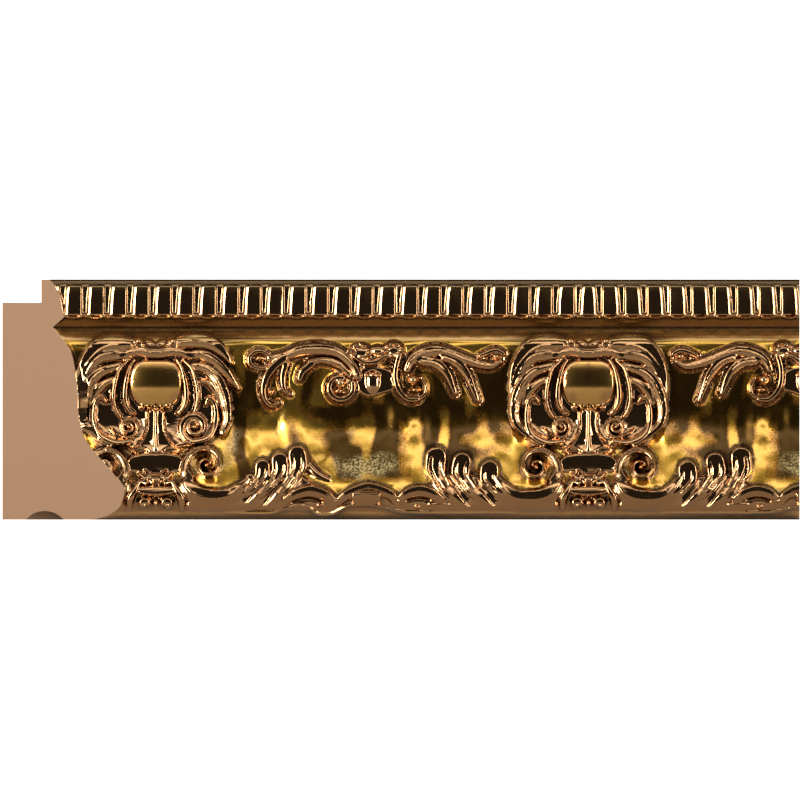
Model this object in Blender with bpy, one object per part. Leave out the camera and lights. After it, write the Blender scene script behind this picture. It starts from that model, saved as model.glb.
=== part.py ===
"""A length of carved picture frame moulding, with a rebate, a bead row and scrolled ornament.

The strip runs along X and stands on its outer edge, as it does at the bottom of a frame. Its carved
face looks along -Y and its back is a flat plane. All sizes below are in millimetres.

The ornament is a height above the plain section, worked out over the face from ridges, domes and
panels. Places along the strip are measured from the axis of the nearest cartouche, and heights are
measured up from the outer edge.
"""

import math

import bmesh
import bpy
import numpy as np

MM = 0.001

# The plain section
WIDTH = 80.3
LENGTH = 266.0
REBATE_DEPTH = 13.0
REBATE_HEIGHT = 7.8
GROOVE_CENTRE = 14.2
GROOVE_WIDTH = 12.8
GROOVE_RISE = 3.0
GROOVE_SIDES = 10
DEPTH = 41.0

# The face of the plain section, as height above the outer edge and depth in front of the back: first
# the ground behind the ornament, then the outline that the cut end shows
LIP_GROUND = (
    (WIDTH, 15.7),
    (79.6, 16.8),
    (78.4, 17.5),
    (76.7, 17.9),
    (72.0, 18.9),
    (68.7, 19.6),
    (67.7, 19.9),
    (66.4, 18.6),
    (64.3, 16.9),
)
COVE_GROUND = (
    (64.3, 16.9),
    (62.3, 18.4),
    (60.3, 20.2),
    (59.8, 20.55),
    (58.9, 21.0),
    (58.3, 21.15),
    (57.2, 21.35),
    (55.0, 21.9),
    (51.0, 22.8),
    (44.0, 24.2),
    (38.3, 24.9),
    (34.4, 25.6),
    (31.0, 26.6),
    (27.0, 28.4),
    (22.0, 31.0),
    (17.7, 33.4),
    (14.7, 35.2),
    (12.0, 36.8),
    (10.0, 37.7),
    (8.0, 38.3),
    (4.5, 38.2),
    (2.2, 36.5),
    (1.0, 33.8),
    (0.0, 30.0),
)
LIP_CUT = (
    (WIDTH, 15.7),
    (78.7, 17.2),
    (76.7, 18.3),
    (74.0, 19.3),
    (68.7, 20.3),
    (67.7, 20.7),
    (64.3, 16.9),
)
COVE_CUT = (
    (64.3, 16.9),
    (58.8, 21.3),
    (56.7, 22.8),
    (51.0, 24.2),
    (42.0, 25.2),
    (35.0, 25.5),
    (28.0, 27.3),
    (23.7, 30.0),
    (17.7, 35.3),
    (12.0, 40.0),
    (10.0, 40.8),
    (6.7, 40.1),
    (4.3, 39.2),
    (2.2, 36.5),
    (1.0, 33.6),
    (0.0, 30.0),
)

# The ornament along the strip. Past the mirror line it repeats the other way round.
REPEAT = 144.3
MIRROR_LINE = 195.5
FIRST_CARTOUCHE = MIRROR_LINE - REPEAT
BEAD_PITCH = 7.47
BEAD_HALF = 2.95
BEAD_FOOT = 68.1
BEAD_TOP = 78.6
BEAD_FOOT_FACE = 21.0
BEAD_TOP_FACE = 18.2
BEAD_CHAMFER = 1.2
RIM = 1.0
RIM_RISE = 0.8

# The forms that a ridge's section can have
CUSHION, FACET, SOFT = "cushion", "facet", "soft"

# What the left and the right width of a facet ridge are multiplied by
FACET_SIDES = (1.5, 0.78)

# At the bevelled left end the ornament dies into the section's outline, on a slope of its own
CUT_BLEND = 1.0
CUT_SLOPE = 0.85

# How finely the face is worked out, and how many triangles are kept of it
FIELD_STEP = 0.4
FIELD_START = 5.0
FACE_STEP = 0.55
OVERRUN = 3.0
PATH_STEP = 0.7
SOFTENING = 0.2
FACE_TRIANGLES = 9000


def smooth_path(points, closed=False, spacing=PATH_STEP):
    """Points about one spacing apart, on a smooth curve through the given points."""
    pts = [np.array(p, float) for p in points]
    count = len(pts)
    if count < 3:
        return np.array(pts)
    spans = count if closed else count - 1
    path = []
    for i in range(spans):
        b, c = pts[i], pts[(i + 1) % count]
        a = pts[i - 1] if closed or i else 2 * b - c
        d = pts[(i + 2) % count] if closed or i + 2 < count else 2 * c - b
        parts = max(2, round(float(np.linalg.norm(c - b)) / spacing))
        bend, twist = 2 * a - 5 * b + 4 * c - d, 3 * b - a - 3 * c + d
        for t in np.arange(parts) / parts:
            path.append(0.5 * (2 * b + (c - a) * t + bend * t**2 + twist * t**3))
    if not closed:
        path.append(pts[-1])
    return np.array(path)


def scroll(centre, radius, start_deg, turns, tightening, clockwise=True, squash=1.0):
    """Points on a spiral that winds in: each quarter turn takes its radius times tightening."""
    steps = max(4, round(turns * 16))
    points = []
    for i in range(steps + 1):
        quarters = 4 * turns * i / steps
        turned = math.radians(90 * quarters) * (-1 if clockwise else 1)
        angle = math.radians(start_deg) + turned
        reach = radius * tightening**quarters
        points.append((centre[0] + reach * math.cos(angle), centre[1] + squash * reach * math.sin(angle)))
    return points


def spread(values, count):
    """The few given values, spread evenly over count places."""
    values = np.atleast_1d(np.array(values, float))
    return np.interp(np.linspace(0, 1, count), np.linspace(0, 1, len(values)), values)


def across_ridge(form, away, wide, tall, right):
    """Heights across a ridge, from the distance to its middle line, its half width and its height."""
    inside = np.clip(1 - (away / wide) ** 2, 0, 1)
    edge = np.sqrt(np.clip((wide - away) / 0.3, 0, 1))
    if form == SOFT:
        return tall * inside
    if form == CUSHION:
        crown = np.minimum(np.minimum(0.4 * wide, 0.5), 0.6 * tall)
        return (tall - crown + crown * np.sqrt(inside)) * edge
    leaning = np.maximum(tall - 0.42 * away - 0.03 * away**2, 0.3 * tall)
    return np.where(right, leaning, tall - 0.05 * away) * edge


class Field:
    """The height of the ornament over the plain section, on a grid up to the mirror line."""

    def __init__(self, step):
        self.step = step
        columns = int((MIRROR_LINE - FIELD_START) / step)
        self.along = MIRROR_LINE - step * np.arange(columns, -1, -1)
        self.up = np.arange(-OVERRUN, WIDTH + OVERRUN, step)
        self.rise = np.zeros((len(self.up), len(self.along)))

    def window(self, low, high):
        """The slices of the grid between two corners, with its coordinates there."""
        columns = slice(*np.searchsorted(self.along, (low[0], high[0])))
        rows = slice(*np.searchsorted(self.up, (low[1], high[1])))
        return rows, columns, self.along[columns][None, :], self.up[rows][:, None]

    def ridge(self, points, halves, heights, form=CUSHION, flank=1.0, lean=0.0, hand=1, canvas=None):
        """A ridge along a smooth curve. Its half width and height change along it.

        Seen along the curve, its right side is wider than its left by flank, or its left side
        where hand is -1. It gains lean for each millimetre above its middle line.
        """
        canvas = self.rise if canvas is None else canvas
        path = smooth_path(points)
        left, right_share = FACET_SIDES if form == FACET else (1.0, 1.0)
        half, height = spread(halves, len(path)) * left, spread(heights, len(path))
        flank = flank * right_share / left
        for i in range(len(path) - 1):
            (ax, az), (bx, bz) = path[i], path[i + 1]
            reach = max(half[i], half[i + 1]) * max(flank, 1)
            low = min(ax, bx) - reach, min(az, bz) - reach
            high = max(ax, bx) + reach, max(az, bz) + reach
            rows, columns, x, z = self.window(low, high)
            long2 = (bx - ax) ** 2 + (bz - az) ** 2 + 1e-9
            t = np.clip(((x - ax) * (bx - ax) + (z - az) * (bz - az)) / long2, 0, 1)
            away = np.hypot(x - ax - t * (bx - ax), z - az - t * (bz - az))
            wide = half[i] + t * (half[i + 1] - half[i])
            right = hand * ((bx - ax) * (z - az) - (bz - az) * (x - ax)) < 0
            wide = np.where(right, wide * flank, wide)
            tall = height[i] + t * (height[i + 1] - height[i]) + lean * (z - az - t * (bz - az))
            shape = across_ridge(form, away, wide, tall, right)
            canvas[rows, columns] = np.maximum(canvas[rows, columns], shape)

    def cut(self, points, halves, depths):
        """A groove along a smooth curve, taken out of what is there."""
        groove = np.zeros_like(self.rise)
        self.ridge(points, halves, depths, SOFT, canvas=groove)
        self.rise = np.maximum(self.rise - groove, 0)

    def dome(self, centre, half_along, half_up, height, power=0.6):
        """A rounded boss with an oval foot."""
        low = centre[0] - half_along, centre[1] - half_up
        high = centre[0] + half_along, centre[1] + half_up
        rows, columns, x, z = self.window(low, high)
        apart = ((x - centre[0]) / half_along) ** 2 + ((z - centre[1]) / half_up) ** 2
        shape = height * np.clip(1 - apart, 0, 1) ** power
        self.rise[rows, columns] = np.maximum(self.rise[rows, columns], shape)

    def panel(self, outline, height, edge, peak=(0, 0), falls=(0, 0)):
        """A raised field inside a smooth closed outline, rounded over its edge.

        It may be domed: it falls back from its peak by falls, one millimetre along and up from there.
        """
        path = smooth_path(outline, True, 1.5)
        rows, columns, x, z = self.window(path.min(0), path.max(0))
        inside = np.zeros((z.shape[0], x.shape[1]), bool)
        near = np.full(inside.shape, 1e9)
        for (ax, az), (bx, bz) in zip(path, np.roll(path, -1, 0)):
            long2 = (bx - ax) ** 2 + (bz - az) ** 2 + 1e-9
            t = np.clip(((x - ax) * (bx - ax) + (z - az) * (bz - az)) / long2, 0, 1)
            near = np.minimum(near, np.hypot(x - ax - t * (bx - ax), z - az - t * (bz - az)))
            if az != bz:
                crosses = ((az > z) != (bz > z)) & (x < ax + (z - az) * (bx - ax) / (bz - az))
                inside ^= crosses
        edging = np.clip(np.where(inside, near, 0) / edge, 0, 1)
        domed = height - falls[0] * (x - peak[0]) ** 2 - falls[1] * (z - peak[1]) ** 2
        shape = domed * np.sqrt(1 - (1 - edging) ** 2)
        self.rise[rows, columns] = np.maximum(self.rise[rows, columns], shape)

    def soften(self, blur):
        """Rounds the whole relief slightly, as a coated moulding is."""
        reach = int(math.ceil(3 * blur / self.step))
        kernel = np.exp(-0.5 * (np.arange(-reach, reach + 1) * self.step / blur) ** 2)
        kernel /= kernel.sum()
        mirrored = np.pad(self.rise, ((reach, reach), (reach, reach)), "reflect")
        rows = sum(k * mirrored[:, i : i + self.rise.shape[1]] for i, k in enumerate(kernel))
        self.rise = sum(k * rows[i : i + self.rise.shape[0]] for i, k in enumerate(kernel))

    def at(self, along, up):
        """The height at places given from the left end of the back, mirrored past the line."""
        folded = MIRROR_LINE - np.abs(along - MIRROR_LINE)
        c = np.clip((folded - self.along[0]) / self.step, 0, len(self.along) - 1.001)
        r = np.clip((up - self.up[0]) / self.step, 0, len(self.up) - 1.001)
        ci, ri = c.astype(int), r.astype(int)
        cf, rf = c - ci, r - ri
        low = self.rise[ri, ci] * (1 - cf) + self.rise[ri, ci + 1] * cf
        high = self.rise[ri + 1, ci] * (1 - cf) + self.rise[ri + 1, ci + 1] * cf
        return low * (1 - rf) + high * rf


class Half:
    """One side of an axis, so that a shape is given once as distance from the axis and height."""

    def __init__(self, field, axis, side):
        self.field, self.axis, self.side = field, axis, side

    def place(self, points):
        return [(self.axis + self.side * out, up) for out, up in points]

    def ridge(self, points, halves, heights, **kind):
        self.field.ridge(self.place(points), halves, heights, hand=self.side, **kind)

    def cut(self, points, halves, depths):
        self.field.cut(self.place(points), halves, depths)

    def dome(self, centre, half_along, half_up, height, **kind):
        self.field.dome(self.place([centre])[0], half_along, half_up, height, **kind)

    def panel(self, outline, height, edge, peak=(0, 0), falls=(0, 0)):
        self.field.panel(self.place(outline), height, edge, self.place([peak])[0], falls)

    def rimmed(self, points, halves, heights, rim=RIM, flank=1.0):
        """A ridge that stands on a low rim of its own outline."""
        form = FACET if flank > 1 else CUSHION
        left, right = FACET_SIDES if form == FACET else (1.0, 1.0)
        few = np.atleast_1d(halves)
        wider = (few.mean() * flank * right + rim) / (few.mean() * left + rim)
        self.ridge(points, few * left + rim, RIM_RISE, flank=wider)
        self.ridge(points, halves, heights, form=form, flank=flank)


def shield(half):
    """One side of a cartouche: its plate, moulded frame and cornice."""
    plate = ((-1, 57), (9, 60), (17, 59.5), (22, 55.5), (24.5, 49), (25, 42), (24, 34))
    half.panel(plate + ((20, 29), (13, 25), (5, 24), (-1, 24)), 1.3, 1.2)
    outer_rim = ((9.6, 53), (12, 50.6), (13.4, 46.8), (14.1, 43), (14.1, 39.8), (13.2, 36.6), (11.8, 34.4))
    half.ridge(outer_rim, (0.6, 0.8, 0.8, 0.6), (2.8, 3.9, 3.9, 2.8), flank=1.3)
    inner_rim = ((7, 53.4), (8.7, 50.6), (9.9, 46), (10.3, 42), (10, 39), (8.8, 36.8), (7.4, 35.6))
    half.ridge(inner_rim, (0.7, 1.0, 1.1, 0.8), (2.8, 3.4, 3.4, 2.8))
    cornice = ((-1, 55.5), (2, 55.6), (5, 56.2), (8.4, 55.8), (11, 54.4))
    half.ridge(cornice, (1.3, 1.3, 1.1, 0.8), (3.6, 3.6, 3.3, 2.7), form=FACET, flank=1.9)
    half.ridge(((8, 55.6), (11, 55.2), (14.4, 54)), (0.6, 1.6, 0.8), (2.4, 3.2, 2.4))
    half.ridge(((-1, 56.9), (2.5, 57.4), (5, 58.8)), 0.9, (2.2, 2.4))
    half.dome((5.8, 59.8), 2.0, 1.7, 3.8)
    half.dome((3.9, 58.4), 1.0, 1.0, 3.2)
    half.dome((7.6, 58.3), 0.9, 0.9, 3.6)


def shield_boss(field, axis):
    """The domed shield itself, wide at the shoulder and narrower at the foot."""
    outline = ((0, 53.6), (5.6, 53.3), (8.2, 50), (9, 45.5), (8.1, 41), (5.8, 38), (2.8, 37.2), (0, 37.6))
    mirrored = tuple((-x, z) for x, z in reversed(outline[1:-1]))
    whole = [(axis + x, z) for x, z in outline + mirrored]
    field.panel(whole, 4.5, 0.7, peak=(axis, 47.8), falls=(0.018, 0.0245))


def clasp(half):
    """The fluted skirt below the shield, with the crescent under it."""
    skirt = ((-1, 36.5), (2.6, 36.4), (3, 33), (3.4, 29), (5.2, 25.8), (8.8, 23.4), (7, 22.1))
    half.panel(skirt + ((3.5, 21.7), (-1, 21.5)), 3.8, 0.8, peak=(0, 37), falls=(0, 0.018))
    half.ridge(((0, 36.6), (0, 30), (0, 23)), (1.1, 1.1, 1.5), (4.8, 4.0, 1.6))
    half.ridge(((2.8, 36.2), (3.0, 30), (5.4, 25.4), (8.6, 23.2)), (0.7, 0.8, 0.8, 0.6), (4.7, 4.0, 2.6, 1.6))
    half.ridge(((-1, 21.9), (3.6, 22.1), (8, 22.6)), (0.6, 0.6, 0.4), (2.0, 1.8, 1.2))
    for out in (0.0, 2.2, 4.3):
        half.dome((out, 36.9 + 0.15 * out), 1.15, 1.1, 5.2)
    saddle = ((-1, 22), (7, 22), (9.6, 19.6), (9, 16.4), (4, 15.6), (-1, 15.6))
    half.panel(saddle, 3.4, 0.6, peak=(0, 25), falls=(0, 0.0375))


def foot(half):
    """The foot of a cartouche: a rosette with leaf tips, a saddle, two legs and two curls."""
    half.dome((0, 13.6), 2.9, 2.0, 3.0, power=0.4)
    half.cut(scroll((0, 13.6), 2.0, 0, 0.5, 1.0, squash=0.62), 0.45, 0.8)
    half.ridge(((2.3, 15), (3.6, 16.6)), (1.1, 0.6), (2.6, 1.4))
    half.ridge(((3.2, 13.9), (5.4, 15.6)), (1.1, 0.6), (2.6, 1.4))
    half.ridge(((3.3, 12.6), (6.2, 13.4)), (1.1, 0.7), (2.6, 1.6))
    half.panel(((-1, 11.4), (4, 11.6), (6.4, 11), (6.2, 8.8), (3, 7.9), (-1, 8)), 2.0, 1.2)
    legs = ((5.6, 12.8), (6.9, 10), (8.4, 7.2), (8.7, 3.8))
    half.ridge(legs, (1.0, 1.1, 1.3, 1.0), (2.6, 2.6, 2.2, 1.4))
    half.ridge(scroll((4.0, 5.4), 1.7, 180, 1.5, 0.8), (0.8, 0.6), (2.4, 2.6))
    half.dome((0, 5.4), 1.1, 1.8, 2.2)
    half.dome((1.9, 6.9), 0.8, 0.8, 2.0)


def lower_scroll(half, centre, radius, tail):
    """The big scroll at the outer edge: a spiral whose band runs out into the first lobe."""
    winding = scroll(centre, radius, 215, 1.55, 0.76)[::-1]
    half.ridge(winding, (0.4, 0.5, 0.6, 0.8, 1.0), (3.4, 4.2, 4.4, 3.4, 2.6), form=FACET, flank=2.0, lean=0.35)
    band, heights = winding[-3:] + list(tail)[::-1], (2.6, 2.8, 2.9, 2.9, 3.0, 3.2)
    half.ridge(band, (0.8, 1.8, 2.3, 2.3, 2.0, 1.6, 0.9), heights, form=FACET, flank=1.9, lean=0.1)
    half.dome(centre, 1.3, 1.3, 3.4)


def lobe(half, line, wide, tall):
    """One lobe of a row: a full upright head and a tail that thins towards the edge."""
    half.ridge(line[:3], (wide, wide, 0.7 * wide, 0.4 * wide), (tall, 0.6 * tall, 0.4 * tall), lean=0.4)
    heights = (1.6, 0.45 * tall, 0.5 * tall, 0.5 * tall)
    half.ridge(line[::-1], (0.4, 0.4 * wide, 0.5 * wide, 0.45 * wide), heights, form=FACET, flank=2.0)


def ground_band(half, end):
    """The low smooth band that the lobes and the scroll run down onto."""
    top = ((11.5, 7.2), (16, 8.5), (24, 8), (31, 12), (38, 15), (46, 16), (52, 13), (end, 9))
    half.panel(top + ((end, 3.2), (32, 3.2), (11.5, 3.2)), 1.1, 1.0)


def near_side(half):
    """The side of a cartouche with the small upper volute and three even lobes."""
    outer = ((7.5, 57.8), (12.5, 58.1), (16.1, 57.7), (19, 56.2), (22, 53.2), (24.2, 49.6), (25.2, 45.4))
    outer += ((25.4, 41.5), (24.9, 36))
    outer_halves, outer_rise = (1.9, 2.8, 2.8, 1.9, 1.1, 0.8, 0.6), (2.4, 3.3, 3.5, 3.2, 2.8, 2.2, 1.4)
    half.ridge(outer, outer_halves, outer_rise, form=FACET, flank=1.05)
    middle = ((9.5, 54.8), (14.5, 55.2), (18.6, 54.3), (21.4, 51.6), (23.4, 47.6), (24.4, 43.4))
    half.ridge(middle, (1.0, 1.3, 1.3, 1.0, 0.7), (2.6, 3.5, 3.6, 3.2, 2.2), form=FACET, flank=2.6)
    second = ((11.8, 51.6), (14.7, 50.6), (18.4, 49.2), (21, 46.8), (22.9, 43.4), (24.2, 39.4))
    second += ((24.6, 35.4), (23.6, 32), (21.2, 29.6), (18.4, 27.4), (15.4, 25.4))
    second_halves = (0.9, 1.3, 1.5, 1.5, 1.3, 1.1, 1.0, 0.9)
    half.ridge(second, second_halves, (2.8, 3.9, 4.1, 4.0, 3.6, 3.2, 2.8), form=FACET, flank=1.9)
    third = ((13.6, 47), (17, 45.4), (19.8, 42.4), (21.4, 39))
    half.ridge(third, (0.9, 1.2, 0.8), (3.0, 3.5, 2.6), form=FACET, flank=1.8)
    hook = ((16.6, 39.4), (17.6, 40.7), (19.2, 40.6), (20.3, 38.6), (20.7, 35.2), (20.5, 32), (19.4, 29.4))
    hook += ((16.8, 27.2), (13.6, 26), (10.8, 26), (8.2, 26.4))
    half.ridge(hook, (0.7, 0.9, 0.9, 1.0, 1.1, 1.2, 1.1, 0.9), (3.0, 3.7, 3.8, 3.8, 3.6, 3.2, 2.8), flank=1.1)
    coil = [(15, 30.4), (13.4, 28.9)] + scroll((9.1, 31.1), 3.6, -60, 1.75, 0.84)
    half.ridge(coil, (0.4, 0.8, 0.8, 0.75, 0.65, 0.6), (2.4, 3.6, 3.9, 3.9, 3.7, 3.5))
    half.dome((9.1, 31.1), 1.1, 1.1, 3.6)
    ground_band(half, 56)
    lobe(half, ((50.8, 21), (50.9, 17), (48.4, 11.4), (44, 7), (40, 4.2)), 3.7, 5.4)
    lobe(half, ((42.2, 19.4), (42.6, 15.6), (39.8, 10.8), (35.4, 7), (31.6, 4.4)), 3.4, 5.2)
    lobe(half, ((33, 16.8), (33, 13.6), (29.8, 9.4), (25.6, 6.4), (22.4, 4.6)), 3.4, 4.4)
    half.cut(((52.4, 20.6), (52.6, 16.4), (49.6, 10.6), (45, 6.4)), (0.4, 0.6, 0.5), (0.5, 0.8, 0.4))
    tail = ((31.6, 15), (28.6, 10.8), (24.8, 7.6), (19.6, 6.8), (14.4, 7.6), (10.9, 10.4))
    lower_scroll(half, (17.4, 17.8), 8.0, tail)


def far_side(half):
    """The side of a cartouche with the large upper volute, split leaf and four stepped lobes."""
    upper = ((5.2, 58.4), (9.5, 59.2), (14, 59.4), (18.6, 58.4), (22.2, 55.8), (25, 52.4))
    half.ridge(upper, (1.4, 2.0, 2.0, 1.6, 0.6), (2.4, 3.4, 3.2, 2.0), form=FACET, flank=1.5)
    split = ((10.5, 55), (15, 55.2), (19.4, 53.2), (23, 49.8), (25.4, 46.8), (27.6, 43.8))
    half.ridge(split, (0.9, 1.4, 1.2, 0.6), (2.6, 3.6, 3.2, 1.6), form=FACET, flank=2.0)
    second = ((12.6, 51.4), (16.4, 50.8), (20.2, 47.6), (22.5, 43), (23.7, 38), (24, 33.4), (22.4, 29.4))
    half.ridge(second, (0.9, 1.3, 1.4, 1.1, 0.8), (2.8, 4.0, 4.0, 2.8), form=FACET, flank=2.6)
    third = ((14.4, 46.2), (17.4, 45.6), (20, 42.4), (21.4, 38.4))
    half.ridge(third, (0.6, 0.8, 0.6), (2.4, 2.8, 2.2), form=FACET, flank=2.0)
    hook = ((16.8, 38.6), (17.8, 40.6), (19.6, 38.8), (20.2, 35), (19.6, 31), (17.4, 27.6))
    volute = scroll((12.9, 31.2), 4.9, -90, 1.7, 0.85)
    half.ridge(list(hook) + volute, (0.8, 1.2, 1.3, 1.3, 1.1, 0.9, 0.7), (2.6, 3.2, 3.6, 3.4, 3.2))
    half.dome((12.9, 31.2), 1.5, 1.5, 3.3)
    ground_band(half, 60)
    lobe(half, ((47.2, 21.8), (47.4, 17.4), (44.2, 12), (40.4, 8), (36.6, 4.6)), 3.3, 5.4)
    lobe(half, ((41.3, 19.8), (41.2, 16), (37.8, 11.4), (34, 8), (30.6, 5.6)), 3.1, 5.0)
    lobe(half, ((35.6, 17.8), (35.3, 14.8), (32.4, 11.2), (29, 8.8), (26.4, 7.2)), 2.8, 4.4)
    lobe(half, ((31.4, 14), (30.4, 12), (28, 9.8), (25.6, 8.4), (23.6, 7.6)), 1.8, 3.2)
    trailing = ((48.4, 22.4), (51, 18.6), (54, 15.6), (57.6, 13.8))
    half.ridge(trailing, (2.4, 2.2, 1.2), (2.6, 1.6, 0.5), form=SOFT)
    tail = ((30.4, 13), (27.4, 10.2), (24, 8), (19.2, 7.2), (14.2, 8), (10.6, 10.8))
    lower_scroll(half, (16.9, 18.4), 8.0, tail)


def garland_left(bay):
    """The left branch of the running ornament: an arch with a curl, fingers and a volute."""
    arch = ((38, 53.8), (43, 54.6), (48.2, 56.4), (54.6, 56.9), (60.6, 55.8), (65, 52.2), (67.2, 48))
    bay.rimmed(arch, (0.9, 1.3, 1.4, 1.2, 1.0), (1.8, 2.5, 2.5, 2.2), flank=1.9)
    underside = ((51.6, 52.6), (56, 53.2), (61, 51.8), (64.4, 48.4))
    bay.rimmed(underside, (0.8, 1.0, 0.8), (1.8, 2.3, 1.8), flank=1.7)
    tip = ((38.6, 54), (36.2, 56), (33.4, 56.2), (31.3, 54.2), (31.8, 51.8), (34.2, 50.6), (37, 50.8))
    bay.rimmed(tip, (0.8, 1.0, 1.0, 0.8), 2.0, rim=0.6)
    bay.dome((34.4, 54), 1.4, 1.2, 1.8)
    curl = ((42.6, 54), (39, 50.8), (36.6, 46.8), (35.9, 42.8), (36.9, 39.4), (39, 38), (40.8, 39))
    bay.rimmed(curl, (1.6, 1.6, 1.3, 1.0, 0.8), (2.4, 2.4, 2.2, 1.8), rim=0.8)
    bay.dome((38.6, 42.6), 1.3, 1.3, 1.9)
    bay.rimmed(((43.4, 52), (42.4, 48), (42.8, 43.8), (44.6, 42)), (1.3, 1.2, 0.7), (2.0, 1.4), rim=0.8)
    bay.rimmed(((52, 52.2), (49.2, 49.8), (48, 47.2)), (1.4, 1.4, 1.1), (2.0, 2.2, 1.8), rim=0.9)
    bay.rimmed(scroll((61.6, 44.2), 4.4, 20, 0.85, 0.93), (1.1, 1.2, 0.9), (2.0, 2.2, 2.0))
    bay.dome((61.6, 45.8), 2.1, 1.9, 2.6)
    bay.dome((61.0, 43), 1.9, 0.9, 2.0)


def garland_crest(bay):
    """The middle of the running ornament: a crest of three lumps over a small shell."""
    bay.dome((68.4, 56), 4.4, 3.4, 2.9)
    bay.dome((79.4, 56.8), 4.0, 3.2, 2.9)
    bay.dome((74, 56.4), 3.0, 2.2, 2.2)
    lip = ((66.4, 54.4), (69.6, 52.6), (73.6, 52.8), (76.6, 54.6), (79.4, 54.6))
    bay.rimmed(lip, (0.9, 1.1, 0.8), 2.6, rim=0.6)
    bay.cut(((65.6, 57), (67.4, 58.2), (69.6, 57.6)), 0.5, 0.9)
    bay.cut(((77, 57.6), (79.4, 58.4), (81.4, 57.4)), 0.5, 0.9)
    bay.dome((72.4, 46.2), 3.0, 4.6, 2.0)
    for out in (-1.8, 0.0, 1.8):
        bay.dome((72.4 + out, 48.8 - 0.25 * abs(out)), 0.8, 0.9, 2.6)
    apron = ((66.6, 48), (69, 51), (76, 51), (80, 48), (79.4, 43.6), (76, 42.2), (71.6, 41), (68, 42.6))
    bay.panel(apron, 0.9, 0.7)


def garland_right(bay):
    """The right branch of the running ornament: a stem, a volute, an arch and two long fingers."""
    stem = ((81.4, 55.4), (80.2, 51.2), (80, 46.8), (81.4, 42.8), (84.2, 40.2), (87.4, 40.2))
    bay.rimmed(stem, (1.1, 1.1, 1.2, 0.9), (2.6, 2.4, 2.2))
    bay.dome((85.8, 46.8), 2.1, 1.9, 2.6)
    bay.dome((86.6, 43.4), 1.9, 0.9, 2.0)
    bay.ridge(((87.4, 40.2), (89.6, 41.8), (90.2, 44.6), (88.8, 47.4)), (0.9, 0.8), (2.0, 1.8))
    arch = ((84, 50.2), (85.6, 53.2), (89, 55.4), (94, 56.2), (99, 55), (103.6, 53.2), (108, 51.8))
    arch += ((112, 51.2), (115, 52.8))
    bay.rimmed(arch, (1.0, 1.4, 1.5, 1.3, 1.2, 1.1, 0.7), (2.0, 2.5, 2.5, 2.0), rim=0.9, flank=1.6)
    finger = ((88.4, 52.8), (93.6, 51.8), (96.8, 48.6), (98.6, 44.8), (99.6, 42.4))
    bay.rimmed(finger, (1.3, 1.5, 1.2, 0.8), (2.3, 2.4, 1.6), flank=1.3)
    finger = ((96, 54), (100, 52.4), (103.4, 48.6), (105.5, 43.8), (107.1, 40))
    bay.rimmed(finger, (1.2, 1.4, 1.1, 0.8), (2.5, 1.6), flank=1.3)
    curl = ((108, 54.6), (111, 56), (113.8, 56.6), (116, 55.4))
    bay.rimmed(curl, (0.8, 1.1, 0.9), (1.6, 2.0, 1.6), rim=0.7)
    bay.dome((113.4, 54.6), 1.8, 1.2, 2.4)


def rail(bay):
    """The waved rail along the outer edge between two rows of lobes."""
    humps = (
        ((43.4, 6.6), (47.4, 8.6), (51.4, 9.6), (56, 8.4), (59.8, 5.8)),
        ((60.6, 5.8), (64.8, 8.8), (71.2, 10.6), (77.6, 8.7), (80.1, 6.3)),
        ((80.9, 6.3), (84.2, 8.8), (87.8, 9.6), (91, 9.1), (95.2, 6.8)),
    )
    for hump in humps:
        halves, heights = (1.0, 1.3, 1.5, 1.3, 1.0), (2.4, 3.2, 3.4, 3.2, 2.4)
        bay.ridge(hump, halves, heights, form=FACET, flank=2.4, lean=0.28)
    top = ((44, 8), (51, 10), (58, 7.4), (60.2, 6.6), (65, 9), (71, 11), (77, 9), (80.5, 7.2), (88, 10))
    wave = ((47.8, 4.7), (51.2, 4), (53.5, 2.3), (55.8, 1.7), (58.8, 2), (61.5, 3.3), (64.2, 4.7))
    wave += ((68.2, 5.1), (72.8, 5), (76.2, 4.3), (79.2, 3.3), (88.5, 2.5), (120, 2.6))
    foot_line = wave[::-1]
    bay.panel(top + ((95, 8),) + foot_line, 1.1, 1.0)
    plaque = ((65.6, 9), (70, 9.2), (74.8, 9), (74.8, 5.6), (70, 5.4), (65.6, 5.6))
    bay.panel(plaque, 3.6, 0.4, peak=(70, 9.5), falls=(0, 0.08))
    bay.ridge(((91.4, 5.1), (97.4, 5.0)), 0.7, 1.6)


def bead_row(field):
    """The row of upright staves under the lip, with chamfered sides, each with a rim at its foot."""
    plain = plain_depth(field.up, LIP_GROUND, COVE_GROUND)
    face = np.interp(field.up, (BEAD_FOOT, BEAD_TOP), (BEAD_FOOT_FACE, BEAD_TOP_FACE))
    level = (field.up - 0.5 * (BEAD_FOOT + BEAD_TOP)) / (0.5 * (BEAD_TOP - BEAD_FOOT))
    proud = np.clip(face - plain, 0, None) * np.clip(1 - np.abs(level) ** 16, 0, 1) ** 0.5
    lean = (0.7 * np.clip(0.5 + 0.5 * level, 0, 1) ** 2)[:, None]
    beads = int((MIRROR_LINE - FIELD_START) / BEAD_PITCH) + 1
    for bead in range(beads):
        centre = MIRROR_LINE - bead * BEAD_PITCH
        before = BEAD_HALF - lean + (field.along - centre)[None, :]
        after = BEAD_HALF - (field.along - centre)[None, :]
        edge = np.sqrt(np.clip(np.minimum(before, after) / 0.3, 0, 1))
        across = proud[:, None] - 0.43 * np.clip(BEAD_CHAMFER - before, 0, None)
        field.rise = np.maximum(field.rise, across * edge)
        rim = [(centre + out, BEAD_FOOT - 0.9 + 0.1 * out**2) for out in (-3.7, -2, 0, 2, 3.7)]
        field.ridge(rim, 0.45, 0.8)


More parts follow.
